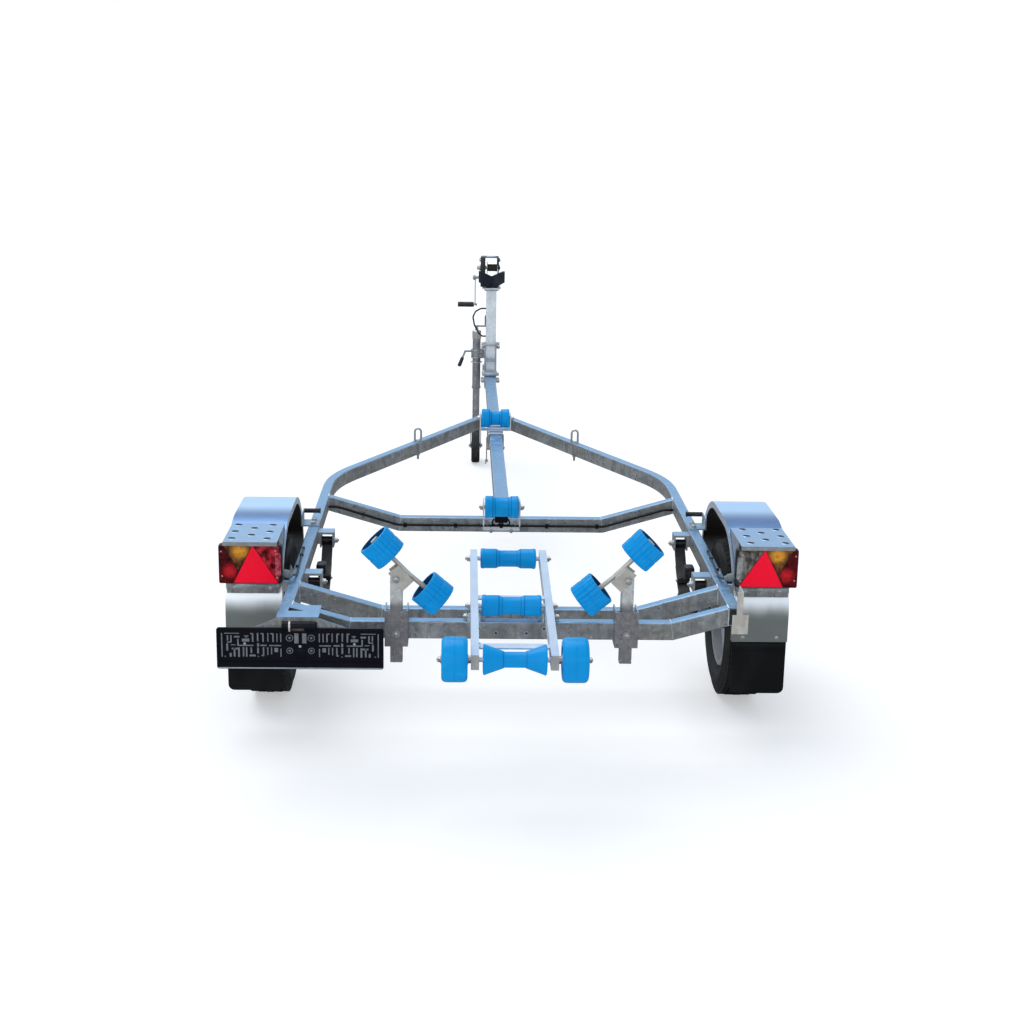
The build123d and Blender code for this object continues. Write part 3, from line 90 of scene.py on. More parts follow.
class Nodes:
    """The nodes of a surface or of the sky, made and linked in a line each."""

    def __init__(self, tree):
        self.tree = tree

    def node(self, kind, settings={}, inputs={}, output=0):
        """Any node: its settings first, then its sockets' values or links; gives back one output."""
        made = self.tree.nodes.new(kind)
        for key, value in settings.items():
            setattr(made, key, value)
        for key, value in inputs.items():
            socket = made.inputs[key]
            if isinstance(value, Wire):
                self.tree.links.new(value.socket, socket)
            else:
                opaque = socket.type == "RGBA" and len(value) == 3
                socket.default_value = (*value, 1) if opaque else value
        return Wire(self, made.outputs[output])

    def axis(self, letter, vector):
        """One coordinate of a vector."""
        return self.node("ShaderNodeSeparateXYZ", {}, {0: vector}, letter)

    def vector(self, operation, first, second=(0, 0, 0), output=0):
        return self.node("ShaderNodeVectorMath", {"operation": operation}, {0: first, 1: second}, output)

    def step(self, value, low, high, bottom=0, top=1):
        """A smooth climb from bottom to top while value goes from low to high."""
        return self.node("ShaderNodeMapRange", {"interpolation_type": "SMOOTHSTEP"},
                         {"Value": value, "From Min": low, "From Max": high, "To Min": bottom, "To Max": top})

    def mix(self, share, first, second, blend="MIX"):
        return self.node("ShaderNodeMix", {"data_type": "RGBA", "blend_type": blend},
                         {0: share, 6: first, 7: second}, output=2)


class Finish(Nodes):
    """A surface finish in the making: its nodes and its shader."""

    def __init__(self, name, **shader_values):
        self.material = bpy.data.materials.new(name)
        self.material.use_nodes = True
        super().__init__(self.material.node_tree)
        self.shader = next(n for n in self.tree.nodes if n.type == "BSDF_PRINCIPLED")
        for key, value in shader_values.items():
            self.shader.inputs[key.replace("_", " ")].default_value = value
        self.place = self.node("ShaderNodeTexCoord", output="Object")

    def noise(self, scale, detail=3, stretch=(1, 1, 1), distortion=0):
        place = self.place if stretch == (1, 1, 1) else self.vector("MULTIPLY", self.place, stretch)
        return self.node("ShaderNodeTexNoise", {},
                         {"Vector": place, "Scale": scale, "Detail": detail, "Distortion": distortion})

    def upward(self):
        """How far the surface faces the sky in its own resting place."""
        return self.axis("Z", self.node("ShaderNodeTexCoord", output="Normal"))

    def bump(self, height, depth, strength=1.0):
        return self.node("ShaderNodeBump", {}, {"Height": height, "Distance": depth, "Strength": strength})

    def feed(self, socket, value):
        self.tree.links.new(value.socket, self.shader.inputs[socket])


def two_tone(name, noise, first, second, edges=None, share=1.0, rough=None, grain=None, **shader_values):
    """A finish whose colour wanders from first to second with a noise of some scale and detail.

    Edges sharpen the noise into patches and share thins them. Rough is the smooth parts' roughness and what
    the patches add. Grain is a finer noise and the depth and strength of the bumps it makes."""
    made = Finish(name, **shader_values)
    tone = amount = made.noise(*noise)
    if edges:
        tone = made.step(tone, *edges)
        amount = tone * share
    made.feed("Base Color", made.mix(amount, first, second))
    if rough:
        made.feed("Roughness", rough[0] + rough[1] * tone)
    if grain:
        scale, detail, depth, strength = grain
        made.feed("Normal", made.bump(made.noise(scale, detail), depth, strength))
    return made


# The floor is pale and plain, and so bright that only a light shadow shows. Metal mirrors it as grey ground.
floor_finish = Finish("pale floor", Roughness=0.9)
seen = floor_finish.node("ShaderNodeLightPath", output="Is Camera Ray")
glossed = floor_finish.node("ShaderNodeLightPath", output="Is Glossy Ray")
ground = floor_finish.mix(glossed, (0.90, 0.90, 0.90), (0.20, 0.19, 0.175))
floor_finish.feed("Base Color", floor_finish.mix(seen, ground, (0.62, 0.62, 0.62)))
floor_finish.feed("Emission Color", floor_finish.mix(seen, (0, 0, 0), (0.44, 0.44, 0.44)))
floor_finish.shader.inputs["Emission Strength"].default_value = 1
floor_sheet = bmesh.new()
bmesh.ops.create_grid(floor_sheet, x_segments=1, y_segments=1, size=90)
floor_mesh = bpy.data.meshes.new("floor")
floor_sheet.to_mesh(floor_mesh)
floor_sheet.free()
floor_mesh.materials.append(floor_finish.material)
floor = bpy.data.objects.new("floor", floor_mesh)
link(floor)

# The sky is white to the eye and a gentle blue-white light. In reflections it is pale at the horizon, blue
# further up and white overhead.
world = bpy.data.worlds.new("sky")
bpy.context.scene.world = world
world.use_nodes = True
sky = Nodes(world.node_tree)
background = next(n for n in sky.tree.nodes if n.type == "BACKGROUND")
height = sky.axis("Z", sky.node("ShaderNodeTexCoord", output="Generated"))
heights = sky.node("ShaderNodeValToRGB", {}, {0: height})
stops = heights.socket.node.color_ramp.elements
for position, colour in ((0.30, (0.78, 0.89, 1.0)), (0.62, (0.24, 0.42, 0.68))):
    stops.new(position).color = (*colour, 1)
stops[0].color, stops[-1].color = (0.92, 0.96, 1.0, 1), (1, 1, 1, 1)
reflected = sky.mix(sky.node("ShaderNodeLightPath", output="Is Glossy Ray"), (0.46, 0.52, 0.60), heights)
looked_at = sky.mix(sky.node("ShaderNodeLightPath", output="Is Camera Ray"), reflected, (1, 1, 1))
sky.tree.links.new(looked_at.socket, background.inputs["Color"])
background.inputs["Strength"].default_value = 1.0

# ================= frame =================

# Side rails, drawbar and cross members: square-cornered steel tube, welded and then dipped in zinc.
# The dip leaves a faint flower of crystals and dull patches. Faces that look up are painted bluer, a painted
# reflection of the sky.


def galvanised(name, pale, dull, warm, painted_sky_tint=(0.23, 0.41, 0.63), painted_sky_share=0.92, crystal=85.0, metallic=0.7,
               mottle=1.0, shine=None, brightened_colour=(0.93, 0.95, 0.97), deepen=None):
    """Dipped zinc: pale metal with dull and warm patches, crystals of a given number to the metre.

    Faces that look up are smoother and bluer: a painted reflection of the sky. Shine is a band of heights above
    which the metal brightens to a given colour and below which it is duller; on the fender sheet this is a
    painted highlight over a painted darker reflection.
    Deepen is a band of places ahead over which a darker painted sky reflection clears, and it paints faces that
    look down near-black: painted shade, with some road film."""
    zinc = Finish(name, Metallic=metallic)
    shifted = zinc.vector("ADD", zinc.place, zinc.vector("MULTIPLY", zinc.noise(38, 2), (0.018,) * 3))
    flower = zinc.node("ShaderNodeTexVoronoi", {"feature": "SMOOTH_F1"},
                       {"Vector": shifted, "Scale": crystal, "Smoothness": 0.25}, output="Color")
    tone = zinc.node("ShaderNodeSeparateColor", {}, {0: flower})
    patch = zinc.step(zinc.noise(17, 6, distortion=0.8), 0.42, 0.66)
    cloud = zinc.step(zinc.noise(6, 5, (1, 1, 2)), 0.42, 0.66)
    runs = zinc.step(zinc.noise(52, 6, (1.6, 1.6, 0.12)), 0.46, 0.66)
    up = zinc.step(zinc.upward(), 0.35, 0.85)
    rough_side = (1 - 0.75 * up) * mottle
    side = zinc.mix(patch * rough_side * 0.6, pale, dull)
    side = zinc.mix(cloud * rough_side * 0.6, side, warm)
    side = zinc.mix(runs * rough_side * 0.3, side, dull)
    if shine:
        # above the band the metal takes the brightened colour, below it goes duller; on the fender sheet this
        # is a painted highlight over a painted darker reflection
        height = zinc.axis("Z", zinc.place) + 0.03 * zinc.noise(9, 3, (2, 2, 0.2))
        side = zinc.mix(zinc.step(height, *shine), zinc.mix(0.6, side, dull), brightened_colour)
    if deepen:
        # a painted sky reflection, darker ahead of the band
        painted_sky_tint = zinc.mix(zinc.step(zinc.axis("Y", zinc.place), *deepen), (0.075, 0.18, 0.37), painted_sky_tint)
        # faces that look down are painted near-black: painted shade, with some road film
        side = zinc.mix(zinc.step(zinc.upward(), -0.35, 0.0), (0.05, 0.047, 0.044), side)
    # faces that look up take the painted sky reflection colour
    colour = zinc.mix(up * (painted_sky_share - 0.1 * mottle * patch), side, painted_sky_tint)
    flake = (0.26 * mottle) * tone * (1 - 0.7 * up) + (0.96 - 0.10 * mottle)
    flake = zinc.node("ShaderNodeCombineColor", {}, {0: flake, 1: flake + 0.005, 2: flake + 0.012})
    colour = zinc.mix(1.0, colour, flake, "MULTIPLY")
    # bright flecks in the base colour: painted glints
    glint = zinc.step(zinc.noise(170, 3, (1, 1, 0.6)), 0.62, 0.72)
    colour = zinc.mix(glint * rough_side * 0.45, colour, (0.86, 0.88, 0.90))
    zinc.feed("Base Color", colour)
    zinc.feed("Roughness", mottle * (0.14 * tone + 0.18 * patch) + (0.38 - 0.12 * mottle))
    zinc.feed("Normal", zinc.bump(zinc.noise(60, 4) * (1 - 0.6 * up) * mottle ** 2, 0.0008, 0.6))
    return zinc


def dress(finish, *nodes):
    """Gives CAD nodes their finish."""
    for name in nodes:
        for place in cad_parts[name].material_slots:
            place.material = finish.material


tube_zinc = galvanised("galvanised tube", (0.47, 0.49, 0.50), (0.17, 0.175, 0.18), (0.35, 0.33, 0.285),
                       painted_sky_tint=(0.21, 0.41, 0.63))
dress(tube_zinc, "side_rail_left", "side_rail_right", "drawbar", "front_cross_member", "middle_cross_member",
      "rear_cross_member", "axle")


RIGHT, BACK, UP, DOWN = (1, 0, 0), (0, -1, 0), (0, 0, 1), (0, 0, -1)


def at(across, ahead, up):
    """A place in millimetres: right of the middle, ahead of the lamps' rear face, above the ground."""
    return Vector((across / 1000, ahead / 1000 - 1.973, up / 1000))


def finished(name, shape, body, slot, *finishes, sharp=35, instead=None):
    """Makes a piece from its shape, smooth except over sharp edges, and hangs it on a body.

    It may show instead of a CAD node."""
    bmesh.ops.recalc_face_normals(shape, faces=shape.faces)
    for face in shape.faces:
        face.smooth = True
    mesh = bpy.data.meshes.new(name)
    shape.to_mesh(mesh)
    shape.free()
    for finish in finishes:
        mesh.materials.append(finish.material)
    mesh.set_sharp_from_angle(angle=radians(sharp))
    piece = bpy.data.objects.new(name, mesh)
    link(piece)
    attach(piece, body)
    if instead:
        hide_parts(instead)


def gather(shape, part):
    """Adds a finished part of a piece to the rest of it."""
    mesh = bpy.data.meshes.new("part")
    part.to_mesh(mesh)
    part.free()
    shape.from_mesh(mesh)
    bpy.data.meshes.remove(mesh)


def turned(shape, profile, centre, axis, steps=48, closed=False, finish=0):
    """Spins a profile of (along, radius) pairs in millimetres about an axis through centre."""
    axis = Vector(axis).normalized()
    aside = axis.orthogonal().normalized()
    part = bmesh.new()
    points = [part.verts.new(centre + (axis * along + aside * radius) / 1000) for along, radius in profile]
    pairs = list(zip(points, points[1:])) + ([(points[-1], points[0])] if closed else [])
    edges = [part.edges.new(pair) for pair in pairs]
    bmesh.ops.spin(part, geom=points + edges, cent=centre, axis=axis, angle=2 * pi, steps=steps, use_merge=True)
    for face in part.faces:
        face.material_index = finish
    poles = [vert for vert in part.verts if (vert.co - centre).cross(axis).length < 1e-6]
    bmesh.ops.remove_doubles(part, verts=poles, dist=1e-6)
    gather(shape, part)


def mirrored(profile):
    """The same profile on the other side of its centre."""
    return [(-along, radius) for along, radius in reversed(profile)]


def disc(shape, low, high, radius, centre, axis, steps, finish=0):
    """A flat round plate or short bar from low to high millimetres along the axis."""
    turned(shape, [(low, 0), (low, radius), (high, radius), (high, 0)], centre, axis, steps, finish=finish)


def collar(shape, low, high, inner, outer, centre, axis, steps, finish=0):
    """A ring of square section from low to high millimetres along the axis."""
    turned(shape, [(low, inner), (low, outer), (high, outer), (high, inner)], centre, axis, steps, closed=True,
           finish=finish)


def weld(shape, start, end, width=5.0, finish=0):
    """A bead of overlapping ripples from start to end."""
    run = (end - start).length * 1000
    count = max(2, int(run / (width * 0.55)))
    swell = width / 2
    ripples = [(-swell * 0.6, 0)]
    for ripple in range(count + 1):
        spread = swell * (1 + 0.16 * sin(ripple * 2.3 + start.x * 90))
        here = run * ripple / count
        ripples += [(here - swell * 0.24, spread * 0.86), (here + swell * 0.12, spread),
                    (here + swell * 0.42, spread * 0.84)]
    turned(shape, ripples + [(run + swell * 0.6, 0)], start, end - start, 8, finish=finish)


# Weld beads run round both ends of each cross member and over its mitres, and along the drawbar's joints.
bead_zinc = galvanised("zinc over weld", (0.66, 0.68, 0.70), (0.36, 0.37, 0.37), (0.50, 0.48, 0.44),
                       painted_sky_tint=(0.60, 0.66, 0.72), crystal=260.0)
frame_top, tube_high, tube_wide, rail_inside = 550, 60, 40, 716
cross_members = ((1208, 418, 87), (-18, 433, 83), (-242, 528, 53))  # rear face, half of the low part, drop
beads = bmesh.new()
for rear, low_half, drop in cross_members:
    lean = atan2(drop, rail_inside - low_half)
    inner_half = low_half + tube_high * sin(lean / 2) / cos(lean / 2)
    low_top = frame_top - drop
    for side in (-1, 1):
        end, mitre, inner = side * rail_inside, side * low_half, side * inner_half
        for face in (rear, rear + tube_wide):
            weld(beads, at(end, face, frame_top - tube_high / cos(lean) + 3), at(end, face, frame_top - 4), 6)
        weld(beads, at(end, rear + 3, frame_top), at(end, rear + 37, frame_top), 6)
        weld(beads, at(mitre, rear, low_top - 2), at(inner, rear, low_top - 58), 3.5)
        weld(beads, at(mitre, rear + 3, low_top), at(mitre, rear + 37, low_top), 3.5)
for side in (-1, 1):
    weld(beads, at(side * 31, 2978, frame_top), at(side * 31, 3060, frame_top), 6)
    weld(beads, at(side * 30, 2978, 494), at(side * 30, 2978, 548), 6)
    weld(beads, at(side * 30, 1214, 463), at(side * 30, 1246, 463), 6)
weld(beads, at(-28, 1212, 463), at(28, 1212, 463), 6)
post_ahead = 4196
for edge in (-32, 32):
    weld(beads, at(edge, post_ahead - 30, frame_top), at(edge, post_ahead + 30, frame_top), 6)
    weld(beads, at(-30, post_ahead + edge, frame_top), at(30, post_ahead + edge, frame_top), 6)
finished("frame-welds", beads, "frame", "galvanised_steel", bead_zinc)

# Holes punched through the tubes for bolts and for the zinc to drain: a soft burr round a near-black disc,
# painted shade standing in for the hole's depth.
painted_hole_shade = two_tone("painted hole shade", (300, 2), (0.008, 0.008, 0.01), (0.03, 0.03, 0.034), Roughness=0.9)


def punched(shape, place, out, radius):
    """A burr round a hole, and a near-black disc in its mouth: painted shade for the hole's depth."""
    burr = [(-0.2, radius + 1.8), (0.7, radius + 0.9), (0.8, radius), (0.2, radius - 0.8), (-0.2, radius - 0.8)]
    turned(shape, burr, place, out, 20, closed=True)
    disc(shape, -0.2, 0.3, radius - 0.4, place, out, 20, 1)


holes = bmesh.new()
for side in (-1, 1):
    for across, ahead in ((738, -196), (738, 150), (738, 330), (744, 610), (738, 980)):
        punched(holes, at(side * across, ahead, frame_top), UP, 4.5)
    for across, ahead, up, radius in ((108, -242, 474, 5), (50, -242, 458, 5), (652, -18, 508, 3),
                                      (596, -18, 494, 3), (560, 1208, 492, 4), (270, 1208, 446, 4)):
        punched(holes, at(side * across, ahead, up), BACK, radius)
finished("frame-holes", holes, "frame", "galvanised_steel", bead_zinc, painted_hole_shade)

# ================= axle and springs =================

# Leaf springs: four curved leaves in black paint, clamped to the axle by U-bolts and hung in zinc hangers.
spring_black = two_tone("spring paint", (24, 5), (0.010, 0.010, 0.012), (0.07, 0.065, 0.06), (0.48, 0.72), 0.6,
                        (0.35, 0.35), (200, 3, 0.0004, 0.5), Specular_IOR_Level=0.3)
dress(spring_black, "leaf_springs")

sheet_zinc = galvanised("galvanised sheet", (0.52, 0.54, 0.55), (0.25, 0.26, 0.27), (0.42, 0.40, 0.36),
                        painted_sky_tint=(0.30, 0.48, 0.68), crystal=60.0, mottle=0.6)
dress(sheet_zinc, "spring_hangers")

# Bolts and nuts all over the trailer are bright zinc, a little yellowed.
bolt_zinc = two_tone("bright zinc bolts", (180, 3), (0.36, 0.35, 0.32), (0.62, 0.62, 0.61), rough=(0.26, 0.3),
                     Metallic=0.75)


def coat(shape, before, finish):
    """Gives a shape's faces their finish, from number before on."""
    shape.faces.ensure_lookup_table()
    for face in shape.faces[before:]:
        face.material_index = finish


def rod(shape, start, end, radius, sides=16, end_radius=None, finish=0):
    """A straight bar of radius millimetres between two places; six sides make it a hexagon."""
    run = end - start
    place = Matrix.Translation((start + end) / 2) @ run.to_track_quat("Z", "Y").to_matrix().to_4x4()
    before = len(shape.faces)
    bmesh.ops.create_cone(shape, cap_ends=True, segments=sides, radius1=radius / 1000, depth=run.length,
                          radius2=(radius if end_radius is None else end_radius) / 1000, matrix=place)
    coat(shape, before, finish)


def bolt(shape, seat, out, across=17.0, head=10.0, thread=0.0, finish=0):
    """A hexagon nut or head on its washer at seat, facing out, with thread millimetres beyond it."""
    out = Vector(out).normalized() / 1000
    rod(shape, seat, seat + out * 2, across * 0.68, 24, finish=finish)
    rod(shape, seat + out * 2, seat + out * (1 + head), across * 0.577, 6, finish=finish)
    rod(shape, seat + out * (1 + head), seat + out * (2 + head), across * 0.577, 6, across * 0.47, finish)
    if thread:
        rod(shape, seat + out * head, seat + out * (head + thread), across * 0.29, 12, finish=finish)
        rod(shape, seat + out * (head + thread), seat + out * (head + thread + 2), across * 0.29, 12,
            across * 0.2, finish)


def bent_bar(shape, places, radius, sides=3, finish=0):
    """A round bar of radius millimetres that bends smoothly from place to place."""
    line = bpy.data.curves.new("bent bar", "CURVE")
    line.dimensions = "3D"
    line.bevel_depth = radius / 1000
    line.bevel_resolution = sides
    line.use_fill_caps = True
    spline = line.splines.new("NURBS")
    spline.points.add(len(places) - 1)
    for point, place in zip(spline.points, places):
        point.co = (*place, 1)
    spline.order_u = 3
    spline.use_endpoint_u = True
    spline.resolution_u = 6
    holder = bpy.data.objects.new("bent bar", line)
    mesh = bpy.data.meshes.new_from_object(holder)
    before = len(shape.faces)
    shape.from_mesh(mesh)
    coat(shape, before, finish)
    bpy.data.objects.remove(holder)
    bpy.data.curves.remove(line)
    bpy.data.meshes.remove(mesh)


def block(shape, corner, far, edge=0.0, finish=0, segments=2):
    """A block between two far corners with its edges rounded by edge millimetres."""
    low, high = (Vector(map(pick, corner, far)) for pick in (min, max))
    before = len(shape.faces)
    made = bmesh.ops.create_cube(shape, size=1, matrix=Matrix.Translation((low + high) / 2)
                                 @ Matrix.Diagonal((*(high - low), 1)))
    if edge:
        edges = list(dict.fromkeys(line for vert in made["verts"] for line in vert.link_edges))
        bmesh.ops.bevel(shape, geom=edges, offset=edge / 1000, offset_type="OFFSET", segments=segments,
                        profile=0.5, affect="EDGES", material=-1)
    coat(shape, before, finish)


axle_ahead, hub_up = 450, 292
fixings = bmesh.new()
for side in (-1, 1):
    for eye in (axle_ahead - 270, axle_ahead + 270):
        bolt(fixings, at(side * 655, eye, 500), (-side, 0, 0), 19, 11, 5)
        bolt(fixings, at(side * 709, eye, 500), (side, 0, 0), 17, 6)
        for across in (-1, 1):
            bolt(fixings, at(side * 716, eye + across * 20, 524), (-side, 0, 0), 15, 7)
    for fore in (-28, 28):
        for across in (-28, 28):
            foot = at(side * 682 + across, axle_ahead + fore, 317)
            rod(fixings, foot + Vector((0, 0, -0.075)), foot + Vector((0, 0, 0.03)), 5, 12)
            bolt(fixings, foot + Vector((0, 0, -0.058)), DOWN, 15, 9)
    block(fixings, at(side * 682 - 42, 402, 259), at(side * 682 + 42, 498, 267), 1.5)
    for ahead in (axle_ahead - 130, axle_ahead + 130):
        bolt(fixings, at(side * 660, ahead, 392), (-side, 0, 0), 10, 5)
finished("spring-fixings", fixings, "frame", "galvanised_steel", bolt_zinc)

# Spring clips grip the leaves each side of the axle, with a black bump rubber above it.
clips = bmesh.new()
for side in (-1, 1):
    for ahead in (axle_ahead - 130, axle_ahead + 130):
        block(clips, at(side * 658, ahead - 11, 384), at(side * 706, ahead + 11, 404), 2)
    block(clips, at(side * 664, 425, 446), at(side * 700, 475, 490), 8)
finished("spring-clips", clips, "frame", "spring_steel", spring_black)

# ================= road wheels =================

# Tyres: 13-inch trailer tyres with five ribs of slanted blocks and faint rings round the walls.
tyre_rubber = Finish("tyre rubber", Roughness=0.8, Specular_IOR_Level=0.3)
scuffed = tyre_rubber.step(tyre_rubber.noise(9, 6), 0.42, 0.68)
dusty = tyre_rubber.noise(130, 4)
greyed = scuffed * 0.5 + dusty * 0.25
tyre_rubber.feed("Base Color", tyre_rubber.mix(greyed, (0.010, 0.010, 0.011), (0.052, 0.048, 0.044)))
tyre_rubber.feed("Roughness", 0.62 + 0.25 * scuffed)
tyre_rubber.feed("Normal", tyre_rubber.bump(dusty, 0.0005, 0.5))
wall = [(50, 166), (53.5, 180), (54, 188), (60, 196), (70, 206), (77, 216), (79.5, 228), (79.8, 240),
        (78, 252), (74.5, 262), (72, 268), (70, 274), (64, 281), (57, 284)]
half_tyre = wall + [(40, 284.6), (20, 285.4), (0, 285.6)]
inner_wall = [(34, 279), (48, 272), (66, 252), (70, 230), (62, 208), (46, 190), (44, 178), (36, 170), (38, 166)]
tyre_section = half_tyre + mirrored(half_tyre[:-1]) + mirrored(inner_wall) + inner_wall
wall_rings = ((199, 64.0), (246, 79.2), (250, 78.3))  # radius, then out from the middle
tread_ribs = (  # across, breadth, outer radius, slant, gap between blocks
    (-58, 19, 289.0, 0.5, 4.2), (-31, 22, 291.0, -0.55, 2.6), (0, 25, 291.8, 0.3, 2.6),
    (31, 22, 291.0, -0.55, 2.6), (58, 19, 289.0, 0.5, 4.2))
tread_pitches = 62
for name, side in (("left", -1), ("right", 1)):
    middle = at(side * 866, axle_ahead, hub_up)
    tyre = bmesh.new()
    turned(tyre, tyre_section, middle, (side, 0, 0), 96, closed=True)
    for ring, rise in wall_rings:
        for face in (-1, 1):
            low, high = (rise - 1) * face, (rise + 0.6) * face
            turned(tyre, [(low, ring - 1.2), (high, ring - 0.7), (high, ring + 0.7), (low, ring + 1.2)], middle,
                   (side, 0, 0), 96, closed=True)
    for pitch in range(tread_pitches):
        for rib, (across, broad, outer, skew, gap) in enumerate(tread_ribs):
            turn = 2 * pi * (pitch + 0.5 * (rib % 2)) / tread_pitches
            long = 2 * pi * 290 / tread_pitches - gap
            lean = Matrix.Identity(4)
            lean[1][0] = skew
            size = Matrix.Diagonal((broad / 1000, long / 1000, 0.012, 1))
            lift = Matrix.Translation((across / 1000, 0, outer / 1000 - 0.006))
            place = Matrix.Translation(middle) @ Matrix.Rotation(turn, 4, "X") @ lift @ lean @ size
            bmesh.ops.create_cube(tyre, size=1, matrix=place)
    finished(f"tyre-{name}-tread", tyre, f"wheel_{name}", "tyre_rubber", tyre_rubber, sharp=30,
             instead=f"tyre_{name}")

# Rims are pressed steel in silver paint; hubs are black castings with zinc wheel bolts.
rim_paint = Finish("silver wheel paint", Metallic=0.55)
film = rim_paint.noise(30, 5)
brake_dust = rim_paint.step(rim_paint.noise(8, 5), 0.5, 0.75)
rim_paint.feed("Base Color", rim_paint.mix(brake_dust * 0.45, (0.50, 0.51, 0.53), (0.22, 0.20, 0.18)))
rim_paint.feed("Roughness", 0.28 + 0.25 * film)
rim_paint.feed("Normal", rim_paint.bump(rim_paint.noise(700, 2), 0.0002, 0.4))
dress(rim_paint, "rim_left", "rim_right")
hub_cast = two_tone("black hub casting", (160, 4), (0.016, 0.016, 0.018), (0.06, 0.058, 0.055),
                    rough=(0.4, 0.3), grain=(160, 4, 0.0012, 0.6))
dress(hub_cast, "hub_left", "hub_right")
for name, side in (("left", -1), ("right", 1)):
    trim = bmesh.new()
    middle = at(side * 866, axle_ahead, hub_up)
    for place in range(4):
        turn = pi / 4 + pi / 2 * place
        seat = middle + Vector((side * 22.5, 50 * cos(turn), 50 * sin(turn))) / 1000
        for low, high, radius, sides, end in ((0, 4, 14, 24, 11), (4, 16, 10.5, 6, 10.5), (16, 19, 9.5, 18, 5)):
            rod(trim, seat + Vector((side * low / 1000, 0, 0)), seat + Vector((side * high / 1000, 0, 0)),
                radius, sides, end)
    stem = middle + Vector((side * 36, 0, 134)) / 1000
    shoulder, tip = stem + Vector((side * 0.022, 0, -0.012)), stem + Vector((side * 0.031, 0, -0.017))
    rod(trim, stem, shoulder, 4.5, 12, 3.6, finish=1)
    rod(trim, shoulder, tip, 4.6, 12, finish=1)
    finished(f"wheel-{name}-bolts", trim, f"wheel_{name}", "hub_steel", bolt_zinc, tyre_rubber)

# ================= fenders, lamp brackets and lamps =================

# Fenders: thin galvanised sheet, arched and lipped, riveted to their brackets and flaps.
# Painted light on the fenders: a sky reflection on top that is darker in a band ahead, a highlight band over a
# darker reflection low on the rear, and shade, with some road film, on faces that look down.
fender_zinc = galvanised("galvanised fender sheet", (0.50, 0.54, 0.54), (0.27, 0.295, 0.27), (0.42, 0.42, 0.38),
                         painted_sky_tint=(0.50, 0.70, 0.92), crystal=42.0, metallic=0.9, mottle=0.12,
                         shine=(0.43, 0.49), deepen=(-1.64, -1.50))
dress(fender_zinc, "fender_left", "fender_right")
dress(sheet_zinc, "lamp_brackets", "fender_brackets")
dress(tube_zinc, "plate_bracket")
warm_zinc = galvanised("yellowed zinc", (0.70, 0.65, 0.57), (0.42, 0.38, 0.33), (0.56, 0.50, 0.42),
                       painted_sky_tint=(0.62, 0.61, 0.56), crystal=70.0, metallic=0.4, mottle=0.6)
dress(warm_zinc, "corner_bracket")


def rivet(shape, seat, out, radius=5.0):
    """A domed blind rivet, its middle hollow where the pin broke off."""
    turned(shape, [(-0.2, 0), (-0.2, radius), (0.6, radius), (1.6, radius * 0.7), (1.9, radius * 0.42),
                   (0.9, radius * 0.3), (0.8, 0)], seat, out, 20)


# The step plate on each fender has eight raised rings, their middles painted near-black: painted shade for the
# holes.
step_dimples = [(across, ahead) for ahead in (36, 124, 212) for across in (829, 949)] + [(888, 80), (888, 168)]
trim = bmesh.new()
for side in (-1, 1):
    for across in (822, 942):
        rivet(trim, at(side * across, 55, 345), BACK, 7)
        rivet(trim, at(side * across, 44, 516), BACK, 7)
    block(trim, at(side * 793, 44, 498), at(side * 971, 47.6, 530), 1, finish=3)
    for across, ahead in step_dimples:
        dimple = at(side * across, ahead, 696)
        turned(trim, [(-0.3, 15.5), (0.5, 14.5), (1.3, 12.6), (0.2, 12)], dimple, UP, 28, closed=True,
               finish=1)
        # near-black disc: painted shade in the ring's hole
        disc(trim, 0.1, 0.6, 12.3, dimple, UP, 28, 2)
    for ahead in (752, 800):
        bolt(trim, at(side * 738, ahead, 555), UP, 17, 9, 4)
        rivet(trim, at(side * 779, ahead, 582), (-side, 0, 0))
    bolt(trim, at(side * 775, 68, 468), (-side, 0, 0), 15, 8, 3)
finished("fender-fixings", trim, "frame", "galvanised_steel", bolt_zinc, sheet_zinc, painted_hole_shade, tube_zinc)

# A black tube runs from each rail to the front of its fender.
stays = bmesh.new()
for side in (-1, 1):
    rail_end = at(side * 718, 832, 587)
    rod(stays, rail_end, at(side * 783, 832, 587), 9, 20)
    disc(stays, -1, 3, 11, rail_end, (side, 0, 0), 20)
finished("fender-stays", stays, "frame", "black_plastic", spring_black)

# Side markers: small amber lenses on black bases on the fenders' outer faces.
amber_lens = Finish("amber lens", Roughness=0.12)
amber_lens.shader.inputs["Coat Weight"].default_value = 0.6
flutes = amber_lens.step(amber_lens.noise(60, 2, (1, 1, 0.1)), 0.3, 0.7)
amber_lens.feed("Base Color", amber_lens.mix(flutes, (0.62, 0.17, 0.01), (0.90, 0.40, 0.04)))
amber_lens.feed("Normal", amber_lens.bump(flutes, 0.0015, 0.5))
markers = bmesh.new()
for side in (-1, 1):
    block(markers, at(side * 979.5, 405, 640), at(side * 985, 475, 672), 2, finish=1)
    block(markers, at(side * 984, 411, 645), at(side * 990, 469, 667), 2.4)
finished("side-markers", markers, "frame", "lamp_red", amber_lens, spring_black)

# Tail lamps: a black tray under moulded panes, with a pressed-prism triangle reflector in the middle.
# The outer pane is deep red and the next one amber and smoky. The inner one is red on the left lamp and
# clear on the right.


